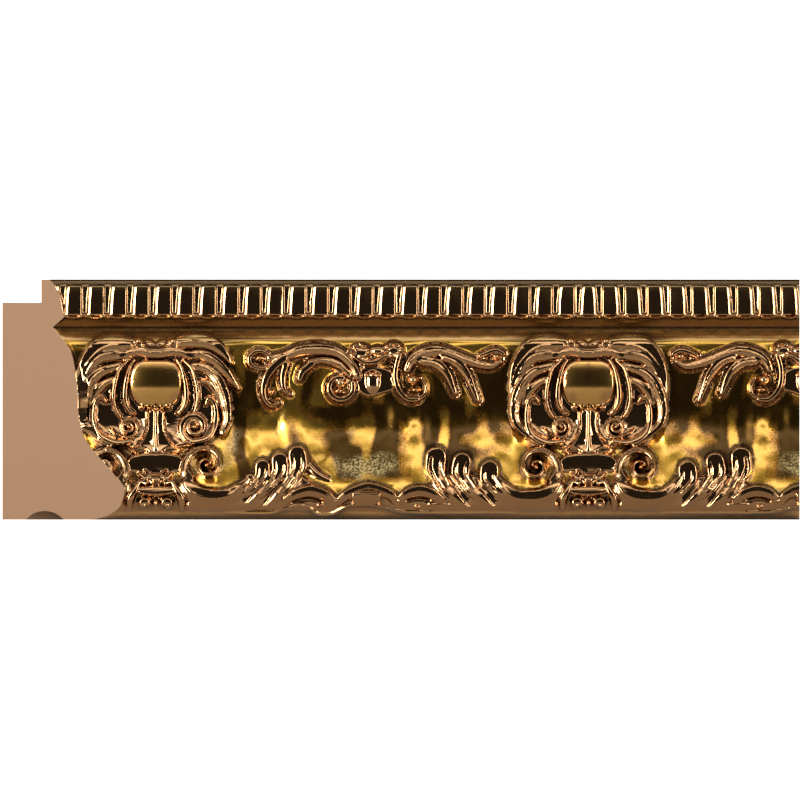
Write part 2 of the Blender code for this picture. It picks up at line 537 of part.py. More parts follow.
def carve(step):
    """The whole ornament as a field of heights, on a grid of the given step."""
    field = Field(step)
    bead_row(field)
    second = MIRROR_LINE
    for axis in (FIRST_CARTOUCHE, second):
        near_side(Half(field, axis, -1))
        shield_boss(field, axis)
    far_side(Half(field, FIRST_CARTOUCHE, 1))
    for axis, side in ((FIRST_CARTOUCHE, -1), (FIRST_CARTOUCHE, 1), (second, -1)):
        half = Half(field, axis, side)
        shield(half)
        clasp(half)
        foot(half)
    bay = Half(field, FIRST_CARTOUCHE, 1)
    garland_left(bay)
    garland_crest(bay)
    garland_right(bay)
    rail(bay)
    field.soften(SOFTENING)
    return field


def plain_depth(up, lip, cove):
    """How far a plain face stands in front of the back at each height."""
    table = np.vstack([smooth_path(cove[::-1]), smooth_path(lip[::-1])[1:]])
    (z0, d0), (z1, d1) = table[0], table[1]
    (z2, d2), (z3, d3) = table[-2], table[-1]
    below = (z0 - OVERRUN, d0 - OVERRUN * (d1 - d0) / (z1 - z0))
    above = (z3 + OVERRUN, d3 + OVERRUN * (d3 - d2) / (z3 - z2))
    table = np.vstack([below, table, above])
    return np.interp(up, table[:, 0], table[:, 1])


def face_depth(field, along, up):
    """How far the carved face stands in front of the back, smooth where the left end is cut."""
    outline = plain_depth(up, LIP_CUT, COVE_CUT)
    inward = np.clip((along - outline) / CUT_BLEND, 0, 1)
    carved = inward**2 * (3 - 2 * inward)
    depth = carved * (plain_depth(up, LIP_GROUND, COVE_GROUND) + field.at(along, up)) + (1 - carved) * outline
    return np.minimum(depth, outline + CUT_SLOPE * np.clip(along - outline, 0, None))


def world(along, depth, up):
    """A place on the strip in metres, from its distance along, in front of the back and up."""
    return (along - LENGTH / 2) * MM, (DEPTH / 2 - depth) * MM, up * MM


def carved_block():
    """A closed block whose front is the carved face, a little larger all round than the strip."""
    field = carve(FIELD_STEP)
    columns = round((LENGTH + 2 * OVERRUN) / FACE_STEP)
    rows = round((WIDTH + 2 * OVERRUN) / FACE_STEP)
    bm = bmesh.new()
    bmesh.ops.create_grid(bm, x_segments=columns, y_segments=rows, size=0.5)
    verts = list(bm.verts)
    flat = np.array([v.co[:] for v in verts])
    along = (flat[:, 0] + 0.5) * (LENGTH + 2 * OVERRUN) - OVERRUN
    up = (flat[:, 1] + 0.5) * (WIDTH + 2 * OVERRUN) - OVERRUN
    depth = face_depth(field, along, up)
    for vert, place in zip(verts, np.stack(world(along, depth, up), 1)):
        vert.co = place
    face = bpy.data.meshes.new("carved_face")
    bm.to_mesh(face)
    bm.free()
    sheet = bpy.data.objects.new("carved_face", face)
    bpy.context.scene.collection.objects.link(sheet)
    thin = sheet.modifiers.new("Decimate", "DECIMATE")
    thin.ratio = FACE_TRIANGLES / (2 * columns * rows)
    graph = bpy.context.evaluated_depsgraph_get()
    reduced = bpy.data.meshes.new_from_object(sheet.evaluated_get(graph))
    bpy.data.objects.remove(sheet)
    bm = bmesh.new()
    bm.from_mesh(reduced)
    rim = [edge for edge in bm.edges if edge.is_boundary]
    drawn = bmesh.ops.extrude_edge_only(bm, edges=rim)["geom"]
    behind = (DEPTH / 2 + OVERRUN) * MM
    for vert in (item for item in drawn if isinstance(item, bmesh.types.BMVert)):
        vert.co.y = behind
    bmesh.ops.holes_fill(bm, edges=[edge for edge in bm.edges if edge.is_boundary], sides=0)
    bmesh.ops.recalc_face_normals(bm, faces=bm.faces)
    block = bpy.data.meshes.new("moulding_strip")
    bm.to_mesh(block)
    bm.free()
    return block


def section_outline():
    """The section behind the face, with its rebate and its round groove, as depth and height."""
    ahead = DEPTH + 2 * OVERRUN
    half = GROOVE_WIDTH / 2
    radius = (half**2 + GROOVE_RISE**2) / (2 * GROOVE_RISE)
    sweep = math.asin(half / radius)
    groove = []
    for i in range(GROOVE_SIDES + 1):
        angle = sweep * (1 - 2 * i / GROOVE_SIDES)
        rise = GROOVE_RISE - radius + radius * math.cos(angle)
        groove.append((GROOVE_CENTRE + radius * math.sin(angle), max(rise, 0.0)))
    seat = WIDTH - REBATE_HEIGHT
    rebate = [(ahead, WIDTH), (REBATE_DEPTH, WIDTH), (REBATE_DEPTH, seat), (0, seat)]
    return rebate + [(0, 0)] + groove[::-1] + [(ahead, 0)]


def section_cutter():
    """The space that the strip fills: its section, mitred at the left and square at the right."""
    bm = bmesh.new()
    outline = section_outline()
    left = [bm.verts.new(world(depth, depth, up)) for depth, up in outline]
    right = [bm.verts.new(world(LENGTH, depth, up)) for depth, up in outline]
    bm.faces.new(left)
    bm.faces.new(right[::-1])
    for i in range(len(outline)):
        j = (i + 1) % len(outline)
        bm.faces.new((left[i], right[i], right[j], left[j]))
    bmesh.ops.recalc_face_normals(bm, faces=bm.faces)
    mesh = bpy.data.meshes.new("section_cutter")
    bm.to_mesh(mesh)
    bm.free()
    cutter = bpy.data.objects.new("section_cutter", mesh)
    cutter.hide_render = True
    cutter.display_type = "WIRE"
    bpy.context.scene.collection.objects.link(cutter)
    return cutter


def foil_finish():
    """Hot stamped gold and bronze foil over foamed polystyrene."""
    material = bpy.data.materials.new("gold_foil")
    material.use_nodes = True
    shader = material.node_tree.nodes["Principled BSDF"]
    shader.inputs["Base Color"].default_value = (0.45, 0.22, 0.06, 1)
    shader.inputs["Metallic"].default_value = 1.0
    shader.inputs["Roughness"].default_value = 0.2
    return material


def moulding_strip():
    """The strip: the carved block, trimmed to the section."""
    strip = bpy.data.objects.new("moulding_strip", carved_block())
    strip.data.materials.append(foil_finish())
    bpy.context.scene.collection.objects.link(strip)
    trim = strip.modifiers.new("Boolean", "BOOLEAN")
    trim.operation = "INTERSECT"
    trim.solver = "EXACT"
    trim.object = section_cutter()
    return strip


def main():
    for old in list(bpy.data.objects):
        bpy.data.objects.remove(old)
    moulding_strip()


main()
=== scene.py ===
"""The looks of a carved picture frame moulding, cut as a sample length.

The strip is one body of foamed polystyrene with a hot stamped gold and bronze foil over its face. Its
ornament is worked out as a height over the plain section, in millimetres, and made as one fine mesh that
takes the place of the plain solid. Places along the strip are measured from the axis of the nearest
cartouche, and heights are measured up from the outer edge.
"""

from __future__ import annotations

import logging
import math
from collections.abc import Sequence
from dataclasses import dataclass, field
from enum import Enum

import bmesh
import bpy
import numpy as np
from mathutils import Matrix, Vector

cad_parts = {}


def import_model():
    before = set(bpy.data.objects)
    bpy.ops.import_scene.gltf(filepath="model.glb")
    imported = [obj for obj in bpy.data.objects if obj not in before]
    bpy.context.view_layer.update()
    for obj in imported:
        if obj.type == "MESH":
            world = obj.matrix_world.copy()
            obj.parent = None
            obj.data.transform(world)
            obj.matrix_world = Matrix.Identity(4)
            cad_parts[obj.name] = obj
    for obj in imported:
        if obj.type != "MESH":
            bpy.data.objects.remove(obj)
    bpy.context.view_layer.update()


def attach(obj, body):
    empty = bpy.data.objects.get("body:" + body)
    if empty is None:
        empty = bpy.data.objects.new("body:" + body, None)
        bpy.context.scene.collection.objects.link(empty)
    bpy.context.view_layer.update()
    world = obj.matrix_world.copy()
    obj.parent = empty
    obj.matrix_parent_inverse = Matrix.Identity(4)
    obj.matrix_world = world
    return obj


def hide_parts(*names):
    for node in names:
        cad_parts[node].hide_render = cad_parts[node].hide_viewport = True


LOG = logging.getLogger("moulding")
MM = 0.001
CAD_NODE = "moulding_strip"

# Sockets of the colour mix node, whose names repeat for each of its data types.
FACTOR, FIRST, SECOND, RESULT = 0, 6, 7, 2

Point = tuple[float, float]
Points = Sequence[Point]
Values = float | Sequence[float]


class Hand(Enum):
    """Which way a half ornament faces along the strip."""

    LEFT = -1
    RIGHT = 1


@dataclass(frozen=True)
class Section:
    """The plain section, in millimetres, as read from the cut end.

    The grounds are the face behind the ornament, and the cuts are the outline that the ornament has at
    the cut end, both as height above the outer edge and depth in front of the back. The face passes from
    one to the other over the cut blend, and everything is made longer by the overrun and then trimmed.
    """

    width: float = 80.3
    length: float = 266.0
    depth: float = 41.0
    rebate_depth: float = 13.0
    rebate_height: float = 7.8
    groove_centre: float = 14.2
    groove_width: float = 12.8
    groove_rise: float = 3.0
    groove_sides: int = 24
    overrun: float = 3.0
    cut_blend: float = 1.0
    lip_ground: Points = (
        (80.3, 15.7), (79.6, 16.5), (78.6, 17.25), (76.7, 17.9), (72.0, 18.9), (68.7, 19.6), (67.7, 19.9),
        (66.4, 18.6), (64.3, 16.9),
    )
    cove_ground: Points = (
        (64.3, 16.9), (62.3, 18.4), (60.3, 20.2), (59.8, 20.55), (58.9, 21.0), (58.3, 21.15), (57.2, 21.35),
        (55.0, 21.9), (51.0, 22.8), (44.0, 24.2), (38.3, 24.9), (34.4, 25.6), (31.0, 26.6), (27.0, 28.4),
        (22.0, 31.0), (17.7, 33.4), (14.7, 35.2), (12.0, 36.8), (10.0, 37.7), (8.0, 38.3), (4.5, 38.2),
        (2.2, 36.5), (1.0, 33.8), (0.0, 30.0),
    )
    lip_cut: Points = (
        (80.3, 15.7), (78.7, 17.2), (76.7, 18.3), (74.0, 19.3), (68.7, 20.3), (67.7, 20.7), (64.3, 16.9),
    )
    cove_cut: Points = (
        (64.3, 16.9), (58.8, 21.3), (56.7, 22.8), (51.0, 24.2), (42.0, 25.2), (35.0, 25.5), (28.0, 27.3),
        (23.7, 30.0), (17.7, 35.3), (12.0, 40.0), (10.0, 40.8), (6.7, 40.1), (4.3, 39.2), (2.2, 36.5),
        (1.0, 33.6), (0.0, 30.0),
    )

    def face_table(self, lip: Points, cove: Points) -> np.ndarray:
        """Works out a face as a table of height and depth, run on past both edges.

        Args:
            lip: Points from the top edge down to the neck.
            cove: Points from the neck down to the outer edge.

        Returns:
            Rows of height above the outer edge and depth in front of the back, lowest first.
        """
        table = np.vstack([smooth_path(cove[::-1]), smooth_path(lip[::-1])[1:]])
        (z0, d0), (z1, d1) = table[0], table[1]
        (z2, d2), (z3, d3) = table[-2], table[-1]
        below = (z0 - self.overrun, d0 - self.overrun * (d1 - d0) / (z1 - z0))
        above = (z3 + self.overrun, d3 + self.overrun * (d3 - d2) / (z3 - z2))
        return np.vstack([below, table, above])

    def back_outline(self) -> list[Point]:
        """Works out the section behind the face, with its rebate and its round groove.

        Returns:
            Places given as depth and height, in order round the section.
        """
        ahead = self.depth + 2 * self.overrun
        half = self.groove_width / 2
        radius = (half**2 + self.groove_rise**2) / (2 * self.groove_rise)
        sweep = math.asin(half / radius)
        groove = []
        for i in range(self.groove_sides + 1):
            angle = sweep * (2 * i / self.groove_sides - 1)
            rise = self.groove_rise - radius + radius * math.cos(angle)
            groove.append((self.groove_centre + radius * math.sin(angle), max(rise, 0.0)))
        seat = self.width - self.rebate_height
        rebate = [(ahead, self.width), (self.rebate_depth, self.width), (self.rebate_depth, seat), (0, seat)]
        return rebate + [(0, 0)] + groove + [(ahead, 0)]

    def world(self, along: np.ndarray, depth: np.ndarray, up: np.ndarray) -> np.ndarray:
        """Turns places on the strip into metres in the frame.

        Args:
            along: Distance from the left end of the back.
            depth: Distance in front of the back.
            up: Height above the outer edge.

        Returns:
            One row of X, Y and Z for each place.
        """
        parts = (along - self.length / 2, self.depth / 2 - depth, up)
        return np.stack(np.broadcast_arrays(*parts), -1) * MM


def smooth_path(points: Points, closed: bool = False, spacing: float = 0.6) -> np.ndarray:
    """Draws a smooth curve through a few points.

    Args:
        points: The points that the curve passes.
        closed: Whether the curve comes back to its first point.
        spacing: About how far apart the points of the curve are.

    Returns:
        The curve's points, one a row.
    """
    pts = [np.array(p, float) for p in points]
    count = len(pts)
    if count < 3:
        return np.array(pts)
    path = []
    for i in range(count if closed else count - 1):
        b, c = pts[i], pts[(i + 1) % count]
        a = pts[i - 1] if closed or i else 2 * b - c
        d = pts[(i + 2) % count] if closed or i + 2 < count else 2 * c - b
        parts = max(2, round(float(np.linalg.norm(c - b)) / spacing))
        bend, twist = 2 * a - 5 * b + 4 * c - d, 3 * b - a - 3 * c + d
        for t in np.arange(parts) / parts:
            path.append(0.5 * (2 * b + (c - a) * t + bend * t**2 + twist * t**3))
    if not closed:
        path.append(pts[-1])
    return np.array(path)


def scroll(
    centre: Point, radius: float, start: float, turns: float, tighten: float, squash: float = 1.0
) -> list[Point]:
    """Winds a spiral clockwise towards its centre.

    Args:
        centre: The eye of the spiral.
        radius: Its radius where it starts.
        start: The angle where it starts, in degrees.
        turns: How many turns it makes.
        tighten: What each quarter turn multiplies its radius by.
        squash: Its height over its width.

    Returns:
        The spiral's points.
    """
    steps = max(4, round(turns * 20))
    points = []
    for i in range(steps + 1):
        quarters = 4 * turns * i / steps
        angle = math.radians(start - 90 * quarters)
        reach = radius * tighten**quarters
        points.append((centre[0] + reach * math.cos(angle), centre[1] + squash * reach * math.sin(angle)))
    return points


def spread(values: Values, count: int) -> np.ndarray:
    """Spreads a few values evenly over count places.

    Args:
        values: One value or several.
        count: The number of places.

    Returns:
        One value for each place.
    """
    few = np.atleast_1d(np.array(values, float))
    return np.interp(np.linspace(0, 1, count), np.linspace(0, 1, len(few)), few)


def ramped(values: np.ndarray, start: float, over: float) -> np.ndarray:
    """Rises evenly from 0 to 1 over a stretch.

    Args:
        values: Places or measures.
        start: Where the stretch starts, and all before it gives 0.
        over: How long the stretch is; below 0 where it runs the other way.

    Returns:
        One value from 0 to 1 for each place.
    """
    return np.clip((values - start) / over, 0, 1)


def bounded(x: np.ndarray, y: np.ndarray, start: Point, end: Point) -> tuple[np.ndarray, np.ndarray]:
    """Measures how far places are from a straight stretch.

    Args:
        x: First coordinates of the places.
        y: Second coordinates of the places.
        start: The stretch's first point.
        end: Its last point.

    Returns:
        How far along the stretch each place is, from 0 to 1, and its distance from the stretch.
    """
    (ax, ay), (bx, by) = start, end
    squared_length = (bx - ax) ** 2 + (by - ay) ** 2 + 1e-9
    t = np.clip(((x - ax) * (bx - ax) + (y - ay) * (by - ay)) / squared_length, 0, 1)
    return t, np.hypot(x - ax - t * (bx - ax), y - ay - t * (by - ay))


class Form(Enum):
    """The form of a ridge's section."""

    CUSHION = "a gently rounded top between crisp edges"
    FACET = "an even left side and a broad falling right side, with a fine bead along the crest"
    SOFT = "a swelling that dies into the ground"
    INSET = "the distance in from the edge"

    @property
    def sides(self) -> tuple[float, float]:
        """What the widths of the left and the right side are multiplied by."""
        return (1.5, 0.78) if self is Form.FACET else (1.0, 1.0)

    def section(self, away: np.ndarray, wide: np.ndarray, tall: np.ndarray, right: np.ndarray) -> np.ndarray:
        """Works out heights across a ridge.

        Args:
            away: Distances from the ridge's middle line.
            wide: Its half width at each place.
            tall: Its height at each place.
            right: Which places are on its right side.

        Returns:
            One height for each place, 0 outside the ridge.
        """
        across = np.clip(1 - (away / wide) ** 2, 0, 1)
        if self is Form.INSET:
            return np.clip(wide - away, 0, None)
        if self is Form.SOFT:
            return tall * across
        crisp, highest_crown = 0.3, 0.5
        edge = np.sqrt(ramped(wide - away, 0, crisp))
        if self is Form.CUSHION:
            crown = np.minimum(np.minimum(0.4 * wide, highest_crown), 0.6 * tall)
            return (tall - crown + crown * np.sqrt(across)) * edge
        vein_rise, vein_reach = 0.18, 0.25
        bead_rise, bead_reach = 0.27, 0.36
        leaning = np.maximum(tall - 0.42 * away - 0.03 * away**2, 0.3 * tall)
        leaning = leaning + vein_rise * np.exp(-(((away - 0.6 * wide) / vein_reach) ** 2))
        bead = bead_rise * np.exp(-((away / bead_reach) ** 2))
        return (np.where(right, leaning, tall - 0.05 * away) + bead) * edge


@dataclass
class Relief:
    """Heights of the ornament above the plain section, on a grid up to the mirror line."""

    step: float
    mirror_line: float
    start: float
    section: Section
    along: np.ndarray = field(init=False)
    up: np.ndarray = field(init=False)
    rise: np.ndarray = field(init=False)
    inset: np.ndarray = field(init=False)

    def __post_init__(self) -> None:
        """Lays out the grid, with a column exactly on the mirror line."""
        columns = int((self.mirror_line - self.start) / self.step)
        self.along = self.mirror_line - self.step * np.arange(columns, -1, -1)
        self.up = np.arange(-self.section.overrun, self.section.width + self.section.overrun, self.step)
        self.rise = np.zeros((len(self.up), len(self.along)))
        self.inset = np.zeros_like(self.rise)

    def window(
        self, low: Sequence[float], high: Sequence[float]
    ) -> tuple[slice, slice, np.ndarray, np.ndarray]:
        """Finds the part of the grid between two corners.

        Args:
            low: The lower left corner.
            high: The upper right corner.

        Returns:
            Its rows, its columns, and its coordinates along and up.
        """
        columns = slice(*np.searchsorted(self.along, (low[0], high[0])))
        rows = slice(*np.searchsorted(self.up, (low[1], high[1])))
        return rows, columns, self.along[columns][None, :], self.up[rows][:, None]

    def ridge(
        self,
        points: Points,
        halves: Values,
        heights: Values,
        shape: Form = Form.CUSHION,
        flank: float = 1.0,
        hand: int = 1,
        onto: np.ndarray | None = None,
        lean: float = 0.0,
    ) -> None:
        """Raises a ridge along a smooth curve.

        Args:
            points: The curve's points.
            halves: Its half width, changing along it.
            heights: Its height, changing along it.
            shape: The form of its section.
            flank: How much wider its right side is than its left.
            hand: -1 where left and right change places.
            onto: The grid that it is raised on, if not this one's own.
            lean: How much it gains for each millimetre above its middle line.
        """
        canvas = self.rise if onto is None else onto
        path = smooth_path(points)
        half, height = spread(halves, len(path)) * shape.sides[0], spread(heights, len(path))
        flank = flank * shape.sides[1] / shape.sides[0]
        for i in range(len(path) - 1):
            (ax, az), (bx, bz) = path[i], path[i + 1]
            reach = max(half[i], half[i + 1]) * max(flank, 1)
            low = min(ax, bx) - reach, min(az, bz) - reach
            high = max(ax, bx) + reach, max(az, bz) + reach
            rows, columns, x, z = self.window(low, high)
            t, away = bounded(x, z, (ax, az), (bx, bz))
            wide = half[i] + t * (half[i + 1] - half[i])
            right = hand * ((bx - ax) * (z - az) - (bz - az) * (x - ax)) < 0
            wide = np.where(right, wide * flank, wide)
            tall = height[i] + t * (height[i + 1] - height[i]) + lean * (z - az - t * (bz - az))
            raised = shape.section(away, wide, tall, right)
            canvas[rows, columns] = np.maximum(canvas[rows, columns], raised)

    def cut(self, points: Points, halves: Values, depths: Values, hand: int = 1) -> None:
        """Takes a groove out of what is there.

        Args:
            points: The groove's points.
            halves: Its half width, changing along it.
            depths: Its depth, changing along it.
            hand: -1 where left and right change places.
        """
        groove = np.zeros_like(self.rise)
        self.ridge(points, halves, depths, Form.SOFT, hand=hand, onto=groove)
        self.rise = np.maximum(self.rise - groove, 0)

    def dome(
        self, centre: Point, half_along: float, half_up: float, height: float, power: float = 0.6
    ) -> None:
        """Raises a rounded boss with an oval foot.

        Args:
            centre: Its middle.
            half_along: Half its width along the strip.
            half_up: Half its width across the strip.
            height: How far it stands out.
            power: How full it is; lower is fuller.
        """
        low = centre[0] - half_along, centre[1] - half_up
        high = centre[0] + half_along, centre[1] + half_up
        rows, columns, x, z = self.window(low, high)
        apart = ((x - centre[0]) / half_along) ** 2 + ((z - centre[1]) / half_up) ** 2
        shape = height * np.clip(1 - apart, 0, 1) ** power
        self.rise[rows, columns] = np.maximum(self.rise[rows, columns], shape)

    def panel(
        self, outline: Points, height: float, edge: float, peak: Point = (0, 0), falls: Point = (0, 0)
    ) -> None:
        """Raises a field inside a smooth closed outline.

        Args:
            outline: The outline's points.
            height: How far the field stands out.
            edge: How wide its rounded edge is.
            peak: Where it stands out furthest, if it is domed.
            falls: How far it falls back one millimetre along and one millimetre up from its peak.
        """
        path = smooth_path(outline, True, 1.2)
        rows, columns, x, z = self.window(path.min(0), path.max(0))
        inside = np.zeros((z.shape[0], x.shape[1]), bool)
        near = np.full(inside.shape, 1e9)
        for (ax, az), (bx, bz) in zip(path, np.roll(path, -1, 0)):
            near = np.minimum(near, bounded(x, z, (ax, az), (bx, bz))[1])
            if az != bz:
                inside ^= ((az > z) != (bz > z)) & (x < ax + (z - az) * (bx - ax) / (bz - az))
        edging = np.clip(np.where(inside, near, 0) / edge, 0, 1)
        domed = height - falls[0] * (x - peak[0]) ** 2 - falls[1] * (z - peak[1]) ** 2
        shape = domed * np.sqrt(1 - (1 - edging) ** 2)
        self.rise[rows, columns] = np.maximum(self.rise[rows, columns], shape)

    def raise_rims(self, rise: float = 0.9, bed: float = 0.35, wide: float = 0.5) -> None:
        """Raises a thin rim just inside the noted outlines, with a flat bed behind it.

        Args:
            rise: The rim's height.
            bed: The bed's height.
            wide: The rim's width.
        """
        rim = rise * np.sqrt(np.clip(1 - (2 * self.inset / wide - 1) ** 2, 0, 1))
        flat = np.where(self.inset > wide / 2, bed, 0.0)
        self.rise = np.maximum(self.rise, np.maximum(rim, flat))

    def blurred(self, grid: np.ndarray, blur: float) -> np.ndarray:
        """Smooths a grid.

        Args:
            grid: Values on this relief's grid.
            blur: How far the smoothing reaches, in millimetres.

        Returns:
            The smoothed grid.
        """
        reach = int(math.ceil(3 * blur / self.step))
        kernel = np.exp(-0.5 * (np.arange(-reach, reach + 1) * self.step / blur) ** 2)
        kernel /= kernel.sum()
        padded = np.pad(grid, reach, "reflect")
        rows = sum(k * padded[:, i : i + grid.shape[1]] for i, k in enumerate(kernel))
        return sum(k * rows[i : i + grid.shape[0]] for i, k in enumerate(kernel))

    def folded(self, along: np.ndarray) -> np.ndarray:
        """Carries places past the mirror line back to their image before it."""
        return self.mirror_line - np.abs(along - self.mirror_line)

    def sample(self, grid: np.ndarray, along: np.ndarray, up: np.ndarray) -> np.ndarray:
        """Reads a grid at places on the strip, the other way round past the mirror line.

        Args:
            grid: Values on this relief's grid.
            along: Distances from the left end of the back.
            up: Heights above the outer edge.

        Returns:
            One value for each place.
        """
        c = np.clip((self.folded(along) - self.along[0]) / self.step, 0, len(self.along) - 1.001)
        r = np.clip((up - self.up[0]) / self.step, 0, len(self.up) - 1.001)
        ci, ri = c.astype(int), r.astype(int)
        cf, rf = c - ci, r - ri
        low = grid[ri, ci] * (1 - cf) + grid[ri, ci + 1] * cf
        high = grid[ri + 1, ci] * (1 - cf) + grid[ri + 1, ci + 1] * cf
        return low * (1 - rf) + high * rf


@dataclass
class Half:
    """One side of an axis: a shape is given once, as distance out from the axis and height."""

    relief: Relief
    axis: float
    hand: Hand

    def place(self, points: Points) -> list[Point]:
        """Carries points from this side of the axis to the strip."""
        return [(self.axis + self.hand.value * out, up) for out, up in points]

    def ridge(
        self,
        points: Points,
        halves: Values,
        heights: Values,
        shape: Form = Form.CUSHION,
        flank: float = 1.0,
        lean: float = 0.0,
    ) -> None:
        """Raises a ridge on this side, as Relief.ridge does."""
        self.relief.ridge(self.place(points), halves, heights, shape, flank, self.hand.value, lean=lean)

    def cut(self, points: Points, halves: Values, depths: Values) -> None:
        """Cuts a groove on this side, as Relief.cut does."""
        self.relief.cut(self.place(points), halves, depths, self.hand.value)

    def dome(
        self, centre: Point, half_along: float, half_up: float, height: float, power: float = 0.6
    ) -> None:
        """Raises a boss on this side, as Relief.dome does."""
        self.relief.dome(self.place([centre])[0], half_along, half_up, height, power)

    def panel(
        self, outline: Points, height: float, edge: float, peak: Point = (0, 0), falls: Point = (0, 0)
    ) -> None:
        """Raises a field on this side, as Relief.panel does."""
        self.relief.panel(self.place(outline), height, edge, self.place([peak])[0], falls)

    def rimmed(
        self, points: Points, halves: Values, heights: Values, rim: float = 1.0, flank: float = 1.0
    ) -> None:
        """Raises a ridge and notes its outline, where a thin rim runs round the whole ornament.

        Args:
            points: The ridge's points.
            halves: Its half width, changing along it.
            heights: Its height, changing along it.
            rim: How far the rim shows round it.
            flank: How much wider its right side is than its left.
        """
        shape = Form.FACET if flank > 1 else Form.CUSHION
        few = np.atleast_1d(halves) * shape.sides[0]
        wider = (few.mean() * flank * shape.sides[1] / shape.sides[0] + rim) / (few.mean() + rim)
        line, inset = self.place(points), self.relief.inset
        self.relief.ridge(line, few + rim, 1.0, Form.INSET, wider, self.hand.value, inset)
        self.ridge(points, halves, heights, shape, flank)


@dataclass
class BeadRow:
    """The row of upright staves under the top edge, in millimetres.

    Each stave's face lies so far in front of the back at its foot and at its top. Its left edge has one
    broad chamfer and leans over at the top, and a scalloped rim runs along under the row.
    """

    pitch: float = 7.47
    half: float = 2.95
    foot: float = 68.1
    top: float = 78.6
    foot_face: float = 21.0
    top_face: float = 18.2
    chamfer: float = 1.2
    chamfer_fall: float = 0.43
    top_lean: float = 0.7
    scallop: Sequence[float] = (-3.7, -2, 0, 2, 3.7)
    scallop_drop: float = 0.9
    scallop_half: float = 0.45
    scallop_rise: float = 0.8

    def carve(self, relief: Relief) -> None:
        """Raises the staves to one even face, each with a scalloped rim at its foot.

        Args:
            relief: The relief that they belong to.
        """
        table = relief.section.face_table(relief.section.lip_ground, relief.section.cove_ground)
        plain = np.interp(relief.up, table[:, 0], table[:, 1])
        face = np.interp(relief.up, (self.foot, self.top), (self.foot_face, self.top_face))
        middle, tall = 0.5 * (self.foot + self.top), 0.5 * (self.top - self.foot)
        level = (relief.up - middle) / tall
        upright = ramped((1 - level) * tall, 0, 0.6) * ramped((1 + level) * tall, 0, 0.3) ** 0.5
        lean = (self.top_lean * np.clip(0.5 + 0.5 * level, 0, 1) ** 2)[:, None]
        proud = np.clip(face - plain, 0, None) * upright
        for bead in range(int((relief.mirror_line - relief.start) / self.pitch) + 1):
            centre = relief.mirror_line - bead * self.pitch
            before = self.half - lean + (relief.along - centre)[None, :]
            after = self.half - (relief.along - centre)[None, :]
            edge = ramped(before, 0, 0.12) * ramped(after, 0, 0.18) ** 0.5
            across = proud[:, None] - self.chamfer_fall * np.clip(self.chamfer - before, 0, None)
            relief.rise = np.maximum(relief.rise, across * edge)
            rim = [(centre + out, self.foot - self.scallop_drop + 0.1 * out**2) for out in self.scallop]
            relief.ridge(rim, self.scallop_half, self.scallop_rise)


